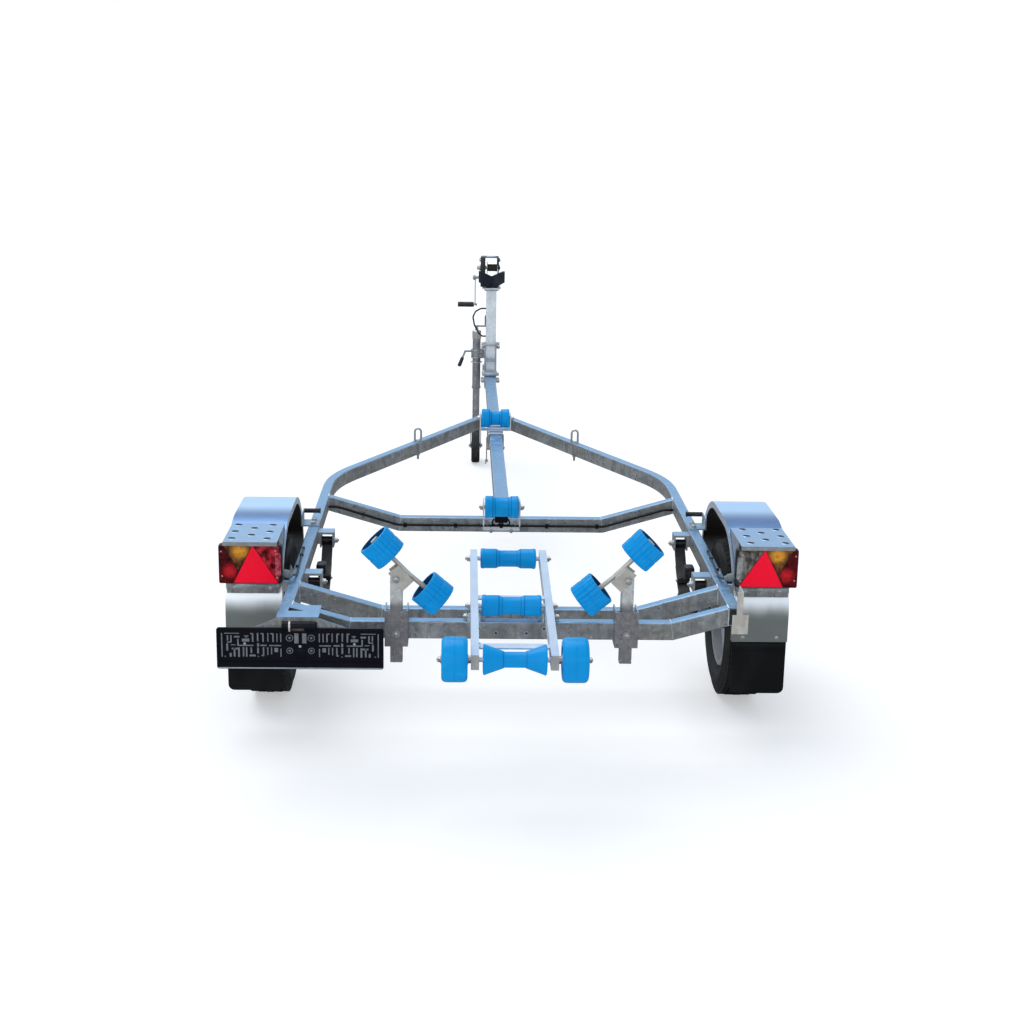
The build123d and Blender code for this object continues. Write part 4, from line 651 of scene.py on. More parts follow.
def pane(name, dark, bright, flute=240.0, across=(1, 0.1, 1), share=0.9, bulb=None, lit=(1, 1, 1)):
    """A glossy moulded lens: fine flutes over a darker tray and a brighter glow round its bulb."""
    lens = Finish(name, Roughness=0.22, Specular_IOR_Level=0.2, Coat_Weight=0.06)
    fluted = lens.noise(flute, 2, across)
    depth = lens.noise(42, 4)
    colour = lens.mix(lens.step(depth * 0.8 + fluted * 0.4, 0.46, 0.74) * share, dark, bright)
    if bulb:
        place = Vector(abs(part) for part in at(*bulb[:3]))
        distance = lens.vector("DISTANCE", lens.vector("ABSOLUTE", lens.place), place, "Value")
        ragged = distance + 0.016 * (depth - 0.5) + 0.008 * (fluted - 0.5)
        flecked = lens.mix(lens.step(lens.noise(95, 3), 0.45, 0.70) * 0.55, lit, bright)
        colour = lens.mix(lens.step(ragged, bulb[3] / 4000, bulb[3] / 1000, 1, 0), colour, flecked)
    lens.feed("Base Color", colour)
    lens.feed("Normal", lens.bump(fluted, 0.0012, 0.5))
    return lens


# The triangle reflector glows red by emission though it is no lamp: painted light.
prism_red = Finish("triangle reflector", Roughness=0.25, Specular_IOR_Level=0.15, Coat_Weight=0.04,
                   Emission_Color=(0.9, 0.004, 0.02, 1), Emission_Strength=0.3)
cell = prism_red.node("ShaderNodeTexVoronoi", {"feature": "F1"},
                      {"Vector": prism_red.place, "Scale": 330.0, "Randomness": 0.15})
cell_tone = prism_red.step(cell, 0.15, 0.6)
prism_red.feed("Base Color", prism_red.mix(cell_tone * 0.5 + prism_red.noise(40, 3) * 0.4, (0.90, 0.003, 0.034),
                                           (0.66, 0.0, 0.018)))
prism_red.feed("Normal", prism_red.bump(cell, 0.0016, 0.6))
lamp_panes = {
    "tray": spring_black,
    "deep red": pane("deep red pane", (0.022, 0.0, 0.002), (0.15, 0.001, 0.004), bulb=(952, 0, 590, 34),
                     lit=(0.60, 0.010, 0.018)),
    "smoke": pane("amber pane", (0.055, 0.022, 0.008), (0.30, 0.10, 0.02), 120.0, (1, 1, 0.2),
                  bulb=(918, 0, 662, 38), lit=(0.86, 0.36, 0.03)),
    "inner red": pane("inner red pane", (0.055, 0.0, 0.003), (0.70, 0.03, 0.045), 90.0, (1, 1, 0.3)),
    "clear": pane("clear pane", (0.050, 0.044, 0.036), (0.27, 0.24, 0.20), 120.0, (1, 1, 0.3)),
    "pink": pane("side pane, red", (0.30, 0.01, 0.02), (0.78, 0.20, 0.25), 60.0, (1, 1, 0.05)),
    "pale": pane("side pane, clear", (0.10, 0.10, 0.095), (0.42, 0.43, 0.42), 60.0, (1, 1, 0.05)),
    "triangle": prism_red,
    "screw": bolt_zinc,
}
pane_number = {name: number for number, name in enumerate(lamp_panes)}
lamp_edge, lamp_low = 992, 544  # each lamp's outer edge and its bottom


def lens_panel(shape, side, outline, depth, pane_name, crown=1.5, inset=1.6):
    """A pane with rounded edges: its outline in millimetres from the lamp's outer edge and its bottom."""
    places = [at(side * (lamp_edge - across), 4, lamp_low + up) for across, up in outline]
    face = shape.faces.new([shape.verts.new(place) for place in places])
    face.normal_update()
    if face.normal.y > 0:
        face.normal_flip()
    before = set(shape.faces) - {face}
    grown = bmesh.ops.extrude_face_region(shape, geom=[face])["geom"]
    front = [item for item in grown if isinstance(item, bmesh.types.BMFace)]
    moved = [item for item in grown if isinstance(item, bmesh.types.BMVert)]
    bmesh.ops.translate(shape, verts=moved, vec=(0, -depth / 1000, 0))
    bmesh.ops.inset_region(shape, faces=front, thickness=inset / 1000, depth=crown / 1000, use_even_offset=True)
    for made in set(shape.faces) - before:
        made.material_index = pane_number[pane_name]


for name, side in (("left", -1), ("right", 1)):
    lamp = bmesh.new()
    block(lamp, at(side * 776, 3.5, lamp_low), at(side * lamp_edge, 38, 682), 9, pane_number["tray"], 4)
    block(lamp, at(side * 785, 36, 553), at(side * 983, 48, 673), 4, pane_number["tray"])
    inner_pane, side_pane = ("inner red", "pink") if side < 0 else ("clear", "pale")
    for outline, depth, pane_name, *edge in (
        ([(2, 6), (6, 2), (50, 2), (52, 7), (65.5, 49), (50, 78), (17, 134), (8, 136), (2, 130)],
         1.6, "deep red"),
        ([(67.5, 51), (116, 133), (115, 136), (20, 136), (52, 79)], 1.8, "smoke", 1.2),
        ([(51.5, 5), (202, 5), (119, 133), (116, 133)], 2.0, "triangle", 0.8, 2.4),
        ([(203, 8), (206, 20), (206, 136), (121.5, 136), (121, 134)], 1.6, inner_pane, 1.2),
        ([(194, 32), (209, 30), (213, 36), (213, 104), (209, 112), (194, 110)], 3.6, side_pane, 0.4),
    ):
        lens_panel(lamp, side, outline, depth, pane_name, *edge)
    for across, up in ((11, 115), (12.5, 28), (195, 118), (198.5, 24)):
        turned(lamp, [(-2.5, 0), (-2.5, 4), (0.4, 4), (1.2, 3), (1.3, 0)],
               at(side * (lamp_edge - across), 2.0, lamp_low + up), BACK, 18, finish=pane_number["screw"])
    finished(f"lamp-{name}", lamp, "frame", "lamp_red", *lamp_panes.values(), sharp=28,
             instead="tail_lamps" if side < 0 else None)

# Each lamp's lead comes out of a round grey socket on its inner side and runs back to the rail.
plug_grey = two_tone("grey socket", (60, 3), (0.10, 0.12, 0.125), (0.22, 0.25, 0.26), Roughness=0.5)
leads = bmesh.new()
for side in (-1, 1):
    turned(leads, [(0, 0), (0, 13), (10, 14), (22, 14), (24, 11), (34, 9), (36, 0)], at(side * 776, 26, 578),
           (-side, 0, -0.25), 28, finish=1)
    route = ((745, 26, 570), (738, 40, 566), (735, 90, 556), (737, 180, 553), (742, 300, 553.5),
             (744, 420, 553.5))
    bent_bar(leads, [at(side * across, ahead, up) for across, ahead, up in route], 3.5)
    disc(leads, -6, 6, 5, at(side * 744, 420, 553.5), (0, 1, 0), 16)
    for ahead in (190, 330):
        block(leads, at(side * 742 - 7, ahead - 5, 549.5), at(side * 742 + 7, ahead + 5, 558), 1.5)
finished("lamp-leads", leads, "frame", "black_rubber", spring_black, plug_grey)

# Mudflaps: plain black rubber sheet, lightly grained, riveted through a washer strip to the fender.
flap_rubber = two_tone("mudflap rubber", (9, 6, (1, 1, 0.5)), (0.0035, 0.0035, 0.0045), (0.018, 0.017, 0.016),
                       (0.5, 0.8), 0.5, (0.45, 0.3), (420, 3, 0.0005, 0.6), Specular_IOR_Level=0.2)
dress(flap_rubber, "mudflaps", "front_cable", "post_cable")
flap_edges = bmesh.new()
for side in (-1, 1):
    block(flap_edges, at(side * 790, 50.5, 300), at(side * 974, 57.2, 326), 1)
finished("mudflap-clamps", flap_edges, "frame", "black_rubber", flap_rubber)

# Number plate holder: black moulding with raised ribs in two mirrored halves, and a pale lip below.
plate_black = two_tone("plate holder plastic", (20, 4), (0.0015, 0.0015, 0.004), (0.005, 0.0055, 0.011),
                       grain=(500, 2, 0.0003, 0.5), Roughness=0.42, Specular_IOR_Level=0.15)
dress(plate_black, "plate_holder", "plate_lamp")
# The ribs are paler grey than the holder.
rib_grey = two_tone("paler grey ribs", (70, 4), (0.075, 0.080, 0.092), (0.24, 0.25, 0.27), Roughness=0.5)
plate_lip = two_tone("pale plate lip", (40, 3), (0.26, 0.30, 0.32), (0.52, 0.56, 0.58), Metallic=0.5,
                     Roughness=0.35)
plate_ribs = (  # across and up from the holder's lower left corner, then width and height
    (15, 41, 4, 80), (25, 119, 48, 3), (33, 96, 5, 18), (44, 92, 5, 22), (33, 89, 16, 4), (56, 106, 18, 6),
    (66, 82, 5, 20), (81, 93, 24, 10), (88, 110, 14, 4), (92, 106, 6, 7), (45, 80, 16, 3), (66, 78, 52, 4),
    (31, 62, 6, 24), (48, 66, 20, 6), (54, 42, 6, 30), (41, 41, 7, 13), (68, 41, 6, 32), (83, 42, 5, 32),
    (93, 42, 5, 32), (108, 54, 5, 20), (104, 43, 20, 6), (113, 92, 5, 29), (108, 118, 9, 4), (129, 94, 5, 28),
    (146, 92, 5, 29), (141, 118, 9, 4), (162, 93, 4, 29), (178, 92, 5, 29), (172, 118, 9, 4), (191, 92, 4, 29),
    (203, 92, 4, 29), (129, 76, 7, 12), (140, 78, 20, 5), (168, 78, 38, 4), (129, 53, 6, 20), (131, 41, 4, 4),
    (147, 46, 5, 28), (143, 44, 9, 5), (161, 48, 4, 26), (173, 50, 4, 24), (184, 58, 12, 14), (203, 42, 4, 28),
    (25, 41, 4, 4),
)
plate_left, plate_low, plate_long = -946, 377, 533
ribs = bmesh.new()
for across, up, width, height in plate_ribs:
    for first in (across, plate_long - across - width):
        left, low = plate_left + first, plate_low + up - 1
        block(ribs, at(left, -373.6, low), at(left + width, -370.4, low + height), 0.7, segments=1)
for left in (plate_left + 248, plate_left + 273):
    block(ribs, at(left, -373.6, 464), at(left + 14, -370.4, 498), 0.8)
for across, up, radius in ((233, 105, 12), (302, 105, 12), (233, 62, 11), (302, 62, 11)):
    place = at(plate_left + across, -371.2, plate_low + up)
    turned(ribs, [(0, radius), (2.6, radius - 0.6), (2.6, radius - 2.6), (0, radius - 3)], place, BACK, 28,
           closed=True)
    disc(ribs, 0, 2.2, 4, place, BACK, 16)
block(ribs, at(-942, -374.5, 377.4), at(-417, -371, 382.2), 0.8, finish=1)
for across, up in ((90, 84), (440, 84), (266, 76)):
    turned(ribs, [(0, 0), (0, 5), (1.6, 4.4), (2.4, 2), (2.5, 0)],
           at(plate_left + across, -371.2, plate_low + up), BACK, 18, finish=2)
block(ribs, at(-692, -373.8, 410), at(-662, -371, 446), 2, finish=3)
finished("plate-holder-ribs", ribs, "frame", "black_plastic", rib_grey, plate_lip, bolt_zinc, plate_black)

# Plate lamp: a round-shouldered black hood with a grey window that looks down on the plate. A pale ring near
# its left end stands in for a highlight: a painted highlight.
window = pane("plate lamp window", (0.05, 0.035, 0.035), (0.14, 0.10, 0.09), 60.0, (0.2, 1, 1))
hood = bmesh.new()
hood_middle = at(-681, -372, 521)
half_hood = [(46, 16), (52, 15), (56, 11), (56, 0)]
turned(hood, mirrored(half_hood) + half_hood, hood_middle, RIGHT, 40)
# the ring at -31 is pale zinc, a painted highlight; the other two are black
for along, finish in ((-31, 1), (-52, 0), (34, 0)):
    turned(hood, [(along - 3.5, 15.4), (along - 2.5, 17), (along + 2.5, 17), (along + 3.5, 15.4)], hood_middle,
           RIGHT, 40, closed=True, finish=finish)
block(hood, at(-706, -390, 510), at(-664, -372, 520), 4, finish=2)
finished("plate-lamp-hood", hood, "frame", "black_plastic", plate_black, warm_zinc, window,
         instead="plate_lamp")

# ================= keel rollers =================

# Rollers are turned from one pour of blue polyurethane: hard, waxy, with a rim at each end and a waist.
polyurethane = Finish("blue polyurethane", Specular_IOR_Level=0.12, Coat_Weight=0.10, Coat_Roughness=0.14)
wax = polyurethane.noise(14, 4)
rubbed = polyurethane.step(polyurethane.noise(60, 5, (0.25, 1, 1)), 0.55, 0.80)
milky = polyurethane.mix(wax * 0.6, (0.0, 0.275, 0.68), (0.0, 0.41, 0.88))
polyurethane.feed("Base Color", polyurethane.mix(rubbed * 0.3, milky, (0.004, 0.50, 0.94)))
polyurethane.feed("Roughness", 0.27 + 0.2 * wax + 0.15 * rubbed)
polyurethane.feed("Normal", polyurethane.bump(polyurethane.noise(90, 3), 0.0006, 0.35))
# Dark blue rings at the grooves: painted shade in the grooves.
painted_groove_shade = two_tone("painted roller groove shade", (80, 3), (0.0, 0.13, 0.40), (0.0, 0.21, 0.54), Roughness=0.5,
                       Specular_IOR_Level=0.1)
bore_steel = two_tone("roller bush", (120, 3), (0.30, 0.31, 0.33), (0.52, 0.53, 0.55), Metallic=0.6,
                      Roughness=0.4)


def waisted(length, rim, barrel, waist, waist_half, cone, bore=8.3):
    """Half lengthwise profile mirrored: rim, groove, barrel, cone and waist, round a bore."""
    half = length / 2
    side = [(half, bore), (half, rim - 9), (half - 1, rim - 3), (half - 3, rim - 0.6), (half - 6, rim),
            (half - 11, rim), (half - 13, rim - 0.6), (half - 14.5, barrel + 0.2), (half - 16, barrel),
            (cone + 3, barrel), (cone, barrel - 1), (waist_half + 3, waist + 1), (waist_half, waist)]
    return side + mirrored(side)


def poured(name, middle, profile, grooves=(), groove_half=1.2, groove_rise=0.5, steps=64, sharp=35):
    """A roller that turns on its own: its profile, and darker ridges at (place, radius) pairs, painted shade
    for its grooves.
    """
    roller = bmesh.new()
    turned(roller, profile, middle, RIGHT, steps, closed=True)
    for place, radius in grooves:
        low, high = place - groove_half, place + groove_half
        turned(roller, [(low, radius), (place, radius + groove_rise), (high, radius)], middle, RIGHT, steps,
               closed=True, finish=1)
    finished(name.replace("_", "-") + "-poured", roller, f"{name}_body", "blue_roller",
             *((polyurethane, painted_groove_shade) if grooves else (polyurethane,)), sharp=sharp, instead=name)


nose_axle, keel_axle = (2600, 608), (1150, 526)
for name, axle, waist, broad in (("nose_roller", nose_axle, 34, 20), ("keel_roller", keel_axle, 40, 27)):
    radii = ((broad + 1, waist + 0.4), (broad + 11, 45.3), (55, 45.3))
    poured(name, at(0, *axle), waisted(138, 46.5, 45.5, waist, broad, broad + 10),
           [(side * place, radius) for side in (-1, 1) for place, radius in radii], 1.6, sharp=40)

# Roller brackets: folded galvanised ears with the axle's nuts outside, drawn down by U-bolts.
trim = bmesh.new()
u_bolts_ahead = (2470, 2648)
for axle in (nose_axle, keel_axle):
    for side in (-1, 1):
        bolt(trim, at(side * 77, *axle), (side, 0, 0), 21, 11, 4)
rod_line = ((-44, 540), (-44, 470), (-44, 412), (-50, 404))
bent_bar(trim, [at(across, u_bolts_ahead[0], up) for across, up in rod_line], 3)
bolt(trim, at(-44, u_bolts_ahead[0], 424), DOWN, 13, 8)
half_bolt = [(36, 482), (36, 520), (36, 545), (34, 554), (24, 556)]
for ahead in u_bolts_ahead:
    bow_line = [(-across, up) for across, up in half_bolt] + [(0, 556)] + half_bolt[::-1]
    bent_bar(trim, [at(across, ahead, up) for across, up in bow_line], 4.5)
    block(trim, at(-46, ahead - 9, 486), at(46, ahead + 9, 490), 1)
    for side in (-1, 1):
        bolt(trim, at(side * 36, ahead, 486), DOWN, 14, 9)
for side in (-1, 1):
    bolt(trim, at(side * 58, 1203, 444), BACK, 15, 8, 3)
    block(trim, at(side * 42 - 6, 1196, 402), at(side * 42 + 6, 1207.5, 418), 2)
finished("keel-roller-fixings", trim, "frame", "galvanised_steel", bolt_zinc)

# A black block sits under the keel roller's waist, tied with cable ties whose tails stick out.
ties = bmesh.new()
block(ties, at(-27, 1188, 448), at(27, 1203, 478), 4)
for across, lean in ((-30, -9), (-12, 7), (9, -5), (27, 10)):
    bent_bar(ties, [at(across, 1199, 462), at(across + lean, 1192, 450), at(across + lean * 0.5, 1190, 440),
                    at(across + lean * 1.6, 1192, 430)], 3)
    block(ties, at(across - 4, 1191, 432), at(across + 4, 1199, 440), 1)
finished("lead-ties", ties, "frame", "black_rubber", flap_rubber)

# ================= rear cradle =================

# Cradle: two rails of box tube with tan end caps, cross strips, three rollers between and two wheels outside.
bright_zinc = galvanised("bright galvanised tube", (0.84, 0.88, 0.90), (0.56, 0.59, 0.62), (0.70, 0.69, 0.66),
                         painted_sky_tint=(0.56, 0.68, 0.82), crystal=90.0, metallic=0.3, mottle=0.6)
dress(bright_zinc, "cradle_frame", "nose_roller_bracket", "keel_roller_bracket")
dress(sheet_zinc, "cradle_lugs")
tail_ahead, tail_up, nose_ahead, nose_up, middle_ahead = -624, 505, 205, 583, -226.0
slope = atan2(nose_up - tail_up, nose_ahead - tail_ahead)
middle_up = tail_up + (middle_ahead - tail_ahead) * sin(slope) / cos(slope) + 6
along_rail, off_rail = Vector((0, cos(slope), sin(slope))), Vector((0, -sin(slope), cos(slope)))
tail = at(0, tail_ahead, tail_up)
trim = bmesh.new()
for side in (-1, 1):
    middle = tail + Vector((side * 0.122, 0, 0)) - along_rail * 0.0222
    size = Matrix((Vector((0.0244, 0, 0)), along_rail * 0.002, off_rail * 0.0492)).transposed().to_4x4()
    bmesh.ops.create_cube(trim, size=1, matrix=Matrix.Translation(middle) @ size)
finished("cradle-end-caps", trim, "cradle", "galvanised_steel", warm_zinc)

# The cradle's axles end in nuts outside its rails, and it pivots on bolts through the lugs on the frame.
trim = bmesh.new()
for side in (-1, 1):
    for ahead, up in ((nose_ahead, nose_up), (middle_ahead, middle_up)):
        bolt(trim, at(side * 134.5, ahead, up), (side, 0, 0), 19, 10, 6)
    bolt(trim, at(side * 226.5, tail_ahead, tail_up), (side, 0, 0), 17, 8, 3)
    rod(trim, at(side * 134.5, tail_ahead, tail_up), at(side * 144.0, tail_ahead, tail_up), 12, 24)
    for run in (53, 87):
        up = tail_up + 12 + run * sin(slope) + 3
        weld(trim, at(side * 109.5, tail_ahead + run, up), at(side * 106, tail_ahead + run, up), 4)
finished("cradle-nuts", trim, "cradle", "galvanised_steel", bolt_zinc)
trim = bmesh.new()
for side in (-1, 1):
    for across, out in ((146.5, side), (97.5, -side)):
        bolt(trim, at(side * across, -222, 509), (out, 0, 0), 17, 9, 3)
finished("cradle-pivot-nuts", trim, "frame", "galvanised_steel", bolt_zinc)

# Cradle rollers: two waisted ones between the rails, a V shaped one at the tail and a broad wheel each side.
small_grooves = [(-42, 34.2), (-31, 29.3), (31, 29.3), (42, 34.2)]
for name, ahead, up in (("cradle_front_roller", nose_ahead, nose_up),
                        ("cradle_middle_roller", middle_ahead, middle_up)):
    poured(name, at(0, ahead, up), waisted(196, 36, 34.6, 29, 30, 42), small_grooves, sharp=40)

half_bow = [(98, 8.3), (98, 40), (97, 45), (94.5, 47.8), (90, 46.6), (84, 44), (60, 35.5), (38, 27.8),
            (34, 25.2), (31, 24.5)]
poured("cradle_bow_roller", tail, half_bow + mirrored(half_bow), [(-36, 26.6), (36, 26.6)], groove_rise=0.6)

# Each wheel has a hollow face, a shoulder at its tread and a steel bush at both ends of its bore.
half_wheel = [(40, 8.3), (40, 22), (37, 23), (37, 44), (40, 46), (40, 57), (38.8, 62), (36, 66), (31, 68.8),
              (24, 69.7), (3, 70), (1.2, 70), (0.6, 69.3)]
for name, side in (("left", -1), ("right", 1)):
    middle = tail + Vector((side * 0.1845, 0, 0))
    poured(f"cradle_wheel_{name}", middle, half_wheel + mirrored(half_wheel), steps=72)
    bush = bmesh.new()
    for face in (-1, 1):
        turned(bush, [(39, 8.4), (39, 17), (41.5, 16), (42, 8.4)], middle, (face, 0, 0), 28, closed=True)
    finished(f"cradle-wheel-{name}-bushes", bush, f"cradle_wheel_{name}_body", "galvanised_steel", bore_steel)

# ================= side roller posts =================

# Side posts: bright galvanised tube in a clamp plate with a bolt, topped by a tan zinc pivot bracket.
post_zinc = galvanised("side post zinc", (0.40, 0.38, 0.38), (0.20, 0.185, 0.19), (0.36, 0.32, 0.30),
                       painted_sky_tint=(0.42, 0.45, 0.50), crystal=90.0, metallic=0.4, shine=(0.57, 0.605),
                       brightened_colour=(0.70, 0.69, 0.65))
dress(post_zinc, "roller_posts")
arm_zinc = galvanised("dull zinc rod", (0.50, 0.50, 0.50), (0.24, 0.235, 0.23), (0.42, 0.38, 0.33),
                      painted_sky_tint=(0.50, 0.55, 0.60), crystal=120.0)
dress(warm_zinc, "roller_arm_left", "roller_arm_right")
side_post = 376
fittings = bmesh.new()
for side in (-1, 1):
    for bolt_face, washer_face, up, radius in ((-287, -287, 467, 13), (-289, -288.5, 654, 12)):
        bolt(fittings, at(side * side_post, bolt_face, up), BACK, 17, 9, 3)
        disc(fittings, 0, 1.6, radius, at(side * side_post, washer_face, up), BACK, 28)
finished("side-post-bolts", fittings, "frame", "galvanised_steel", bolt_zinc)

# Drum rollers: hollow blue drums with broad lengthwise ribs, a groove round the middle and a bush inside. Their
# inner faces are painted dark blue: painted shade in the hollow.
half_tread = [(41, 50), (41, 55.5), (39.5, 58), (37, 58.8), (3.5, 58.8), (2.2, 57.4)]
half_web = [(16, 8.4), (16, 17), (5, 18), (5, 30), (7, 49.5)]
drum_profile = half_tread + mirrored(half_tread) + mirrored(half_web) + half_web
drum_ribs, groove_deep = 22, 2.2
painted_drum_hollow_shade = two_tone("painted shade in drum hollow", (50, 4), (0.0, 0.035, 0.13), (0.01, 0.10, 0.27), Roughness=0.7,
                       Specular_IOR_Level=0.1)
for name, side in (("left", -1), ("right", 1)):
    bend = at(side * 334, -262, 664)
    for place, across, up in (("outer", 422, 753), ("inner", 258, 600)):
        middle = at(side * across, -262, up)
        along = (middle - bend).normalized()
        drum = bmesh.new()
        turned(drum, drum_profile, middle, along, drum_ribs * 8, closed=True)
        for vert in drum.verts:
            spoke = vert.co - middle - along * (vert.co - middle).dot(along)
            if spoke.length > 0.055:
                turn = atan2(spoke.y, spoke.dot(along.cross(Vector((0, 1, 0)))))
                groove = max(0.0, cos(turn * drum_ribs) - 0.72) / 0.28
                vert.co -= spoke.normalized() * groove_deep / 1000 * groove
        # faces inside the tread take the painted hollow shade
        for face in drum.faces:
            spoke = face.calc_center_median() - middle
            if (spoke - along * spoke.dot(along)).length < 0.0502:
                face.material_index = 2
        for face in (-1, 1):
            collar(drum, 16, 18.5, 8.5, 13, middle, along * face, 28, 1)
        finished(f"drum-{place}-{name}-ribbed", drum, f"drum_{place}_{name}", "blue_roller", polyurethane,
                 bore_steel, painted_drum_hollow_shade, sharp=22, instead=f"drum_roller_{place}_{name}")

# ================= winch post =================

# Winch post: bright galvanised box tube, clamped to the drawbar between plates and by a U-bolt over a saddle.
dress(bright_zinc, "winch_post")
dress(sheet_zinc, "post_bracket")
trim = bmesh.new()
half_bow = [(41, 4262, 728), (41, 4230, 728), (41, 4185, 729), (40, 4164, 731), (30, 4160, 734)]
bow_line = [(-across, ahead, up) for across, ahead, up in half_bow] + [(0, 4159, 736)] + half_bow[::-1]
bent_bar(trim, [at(*place) for place in bow_line], 5)
block(trim, at(-54, 4236, 716), at(54, 4243, 740), 1.5)
for side in (-1, 1):
    bolt(trim, at(side * 41, 4243, 728), (0, 1, 0), 17, 8, 4)
    for ahead, up in ((0, 718), (-38, 520), (38, 520)):
        bolt(trim, at(side * 43, post_ahead + ahead, up), (side, 0, 0), 19, 8, 3)
    weld(trim, at(side * 30.5, 4167, 1065), at(side * 30.5, 4225, 1065), 5, 1)
weld(trim, at(-28, 4165.5, 1065), at(28, 4165.5, 1065), 5, 1)
block(trim, at(-50, 4138, 554), at(50, 4144, 574), 2.5, finish=2)
block(trim, at(-43, 4158, 1053), at(43, 4230, 1066.5), 9, finish=2)
for side in (-1, 1):
    bolt(trim, at(side * 42, 4144, 564), BACK, 13, 8)
finished("post-clamp", trim, "frame", "galvanised_steel", bolt_zinc, bead_zinc, sheet_zinc)

# Bow stop: soft black rubber V, its colour tinted blue by a painted sheen of the sky, held to the post by two
# studs in each wing.
stop_rubber = two_tone("bow stop rubber", (26, 5), (0.0075, 0.011, 0.021), (0.042, 0.038, 0.052), (0.45, 0.75),
                       0.7, (0.42, 0.25), (320, 3, 0.0005, 0.5), Specular_IOR_Level=0.3)
dress(stop_rubber, "bow_stop")
trim = bmesh.new()
for side in (-1, 1):
    for up in (1155, 1118):
        turned(trim, [(-1, 0), (-1, 6), (1.2, 5.4), (2.2, 3), (2.4, 0)], at(side * 66, 4143, up), BACK, 20)
finished("bow-stop-studs", trim, "frame", "black_rubber", stop_rubber)

# ================= winch =================

# Winch frame: folded sheet in black paint that has browned with grease low down; its top plate is painted pale
# blue-grey, a painted reflection of the sky.
winch_black = Finish("winch paint", Roughness=0.32)
height = winch_black.axis("Z", winch_black.place)
grease = winch_black.noise(34, 5)
browned = winch_black.step(grease * 0.6 - (height - 1.16) * 3.2, 0.25, 0.62)
winch_black.feed("Base Color", winch_black.mix(browned * 0.7, (0.009, 0.010, 0.013), (0.095, 0.066, 0.045)))
winch_black.feed("Roughness", 0.28 + 0.3 * grease)
winch_black.feed("Normal", winch_black.bump(grease, 0.0004, 0.4))
dress(winch_black, "winch_frame")
painted_sky_on_top = two_tone("painted sky reflection on winch top", (90, 4), (0.20, 0.23, 0.30), (0.42, 0.46, 0.56), Roughness=0.4)
dress(bolt_zinc, "winch_crank")
winch_ahead, drum_up, crank_up, grip_up = 4258, 1180, 1122, 962
left_cheek, right_cheek = -64, 43
cheeks = ((-1, left_cheek), (1, right_cheek))
trim = bmesh.new()
block(trim, at(left_cheek, 4207, 1076), at(-37, 4211, 1243), 1.2)
block(trim, at(30, 4207, 1196), at(right_cheek, 4211, 1243), 1.2)
block(trim, at(left_cheek, 4207, 1072), at(right_cheek, 4212, 1090), 1.2)
block(trim, at(-30, 4222, 1243.5), at(22, 4290, 1245.6), 1, finish=1)
for up in (drum_up, crank_up):
    for side, face in cheeks:
        turned(trim, [(0, 8.3), (0, 17), (3, 17), (5, 14), (5, 8.3)], at(face, winch_ahead, up), (side, 0, 0),
               32, closed=True)
for ahead in (4222, 4294):
    for side, face in cheeks:
        bolt(trim, at(face, ahead, 1226), (side, 0, 0), 12, 6, finish=2)
finished("winch-frame-trim", trim, "frame", "winch_paint", winch_black, painted_sky_on_top, bolt_zinc)


def gear(shape, centre, axis, tip, root, teeth, width, finish=0):
    """A toothed wheel that starts at centre and is width millimetres thick."""
    part = bmesh.new()
    rim = bmesh.ops.create_circle(part, cap_ends=True, segments=teeth * 4, radius=tip / 1000)["verts"]
    for number, vert in enumerate(rim):
        if number % 4 < 2:
            vert.co *= root / tip
    grown = bmesh.ops.extrude_face_region(part, geom=list(part.faces))["geom"]
    bmesh.ops.translate(part, verts=[vert for vert in grown if isinstance(vert, bmesh.types.BMVert)],
                        vec=(0, 0, width / 1000))
    for face in part.faces:
        face.material_index = finish
    turn = Vector(axis).to_track_quat("Z", "Y").to_matrix().to_4x4()
    bmesh.ops.transform(part, matrix=Matrix.Translation(centre) @ turn, verts=part.verts)
    gather(shape, part)


# Drum: olive webbing strap wound on a core between two plated flanges, with its large gear on the left.
strap = Finish("webbing strap", Roughness=0.8)
weave = strap.node("ShaderNodeTexWave", {"wave_type": "BANDS", "bands_direction": "X"},
                   {"Vector": strap.place, "Scale": 260.0, "Distortion": 1.5}, "Fac")
woven = weave * 0.5 + strap.noise(60, 4) * 0.4
strap.feed("Base Color", strap.mix(woven, (0.020, 0.017, 0.012), (0.085, 0.072, 0.045)))
strap.feed("Normal", strap.bump(weave, 0.0006, 0.6))
drum = bmesh.new()
shaft = at(0, winch_ahead, drum_up)
disc(drum, -70, 49, 8, shaft, RIGHT, 32, 1)
turned(drum, [(-24, 8), (-24, 19), (-22, 20.5), (-8, 21), (4, 20.3), (18, 21.2), (30, 20.6), (32, 19), (32, 8)],
       shaft, RIGHT, 48)
for layer in range(9):
    inner = 9.5 + layer * 1.2
    collar(drum, -24.4, 32.4, inner, inner + 0.7, shaft, RIGHT, 40)
for flange in (-27, 32):
    turned(drum, [(0, 8), (0, 35), (0.8, 35.6), (2.2, 35.6), (3, 35), (3, 8)], at(flange, winch_ahead, drum_up),
           RIGHT, 56, closed=True, finish=1)
gear(drum, at(-56, winch_ahead, drum_up), RIGHT, 42, 38.5, 40, 8, 1)
collar(drum, 0, 8, 8, 14, at(-42, winch_ahead, drum_up), RIGHT, 32, 1)
bolt(drum, at(43.4, winch_ahead, drum_up), RIGHT, 15, 6, finish=1)
turned(drum, [(0, 8), (0, 17), (6, 17), (12, 13), (20, 11), (21, 0)], at(-66, winch_ahead, drum_up), (-1, 0, 0),
       36, finish=2)
finished("winch-drum-strap", drum, "winch_drum_body", "winch_paint", strap, bolt_zinc, warm_zinc,
         instead="winch_drum")

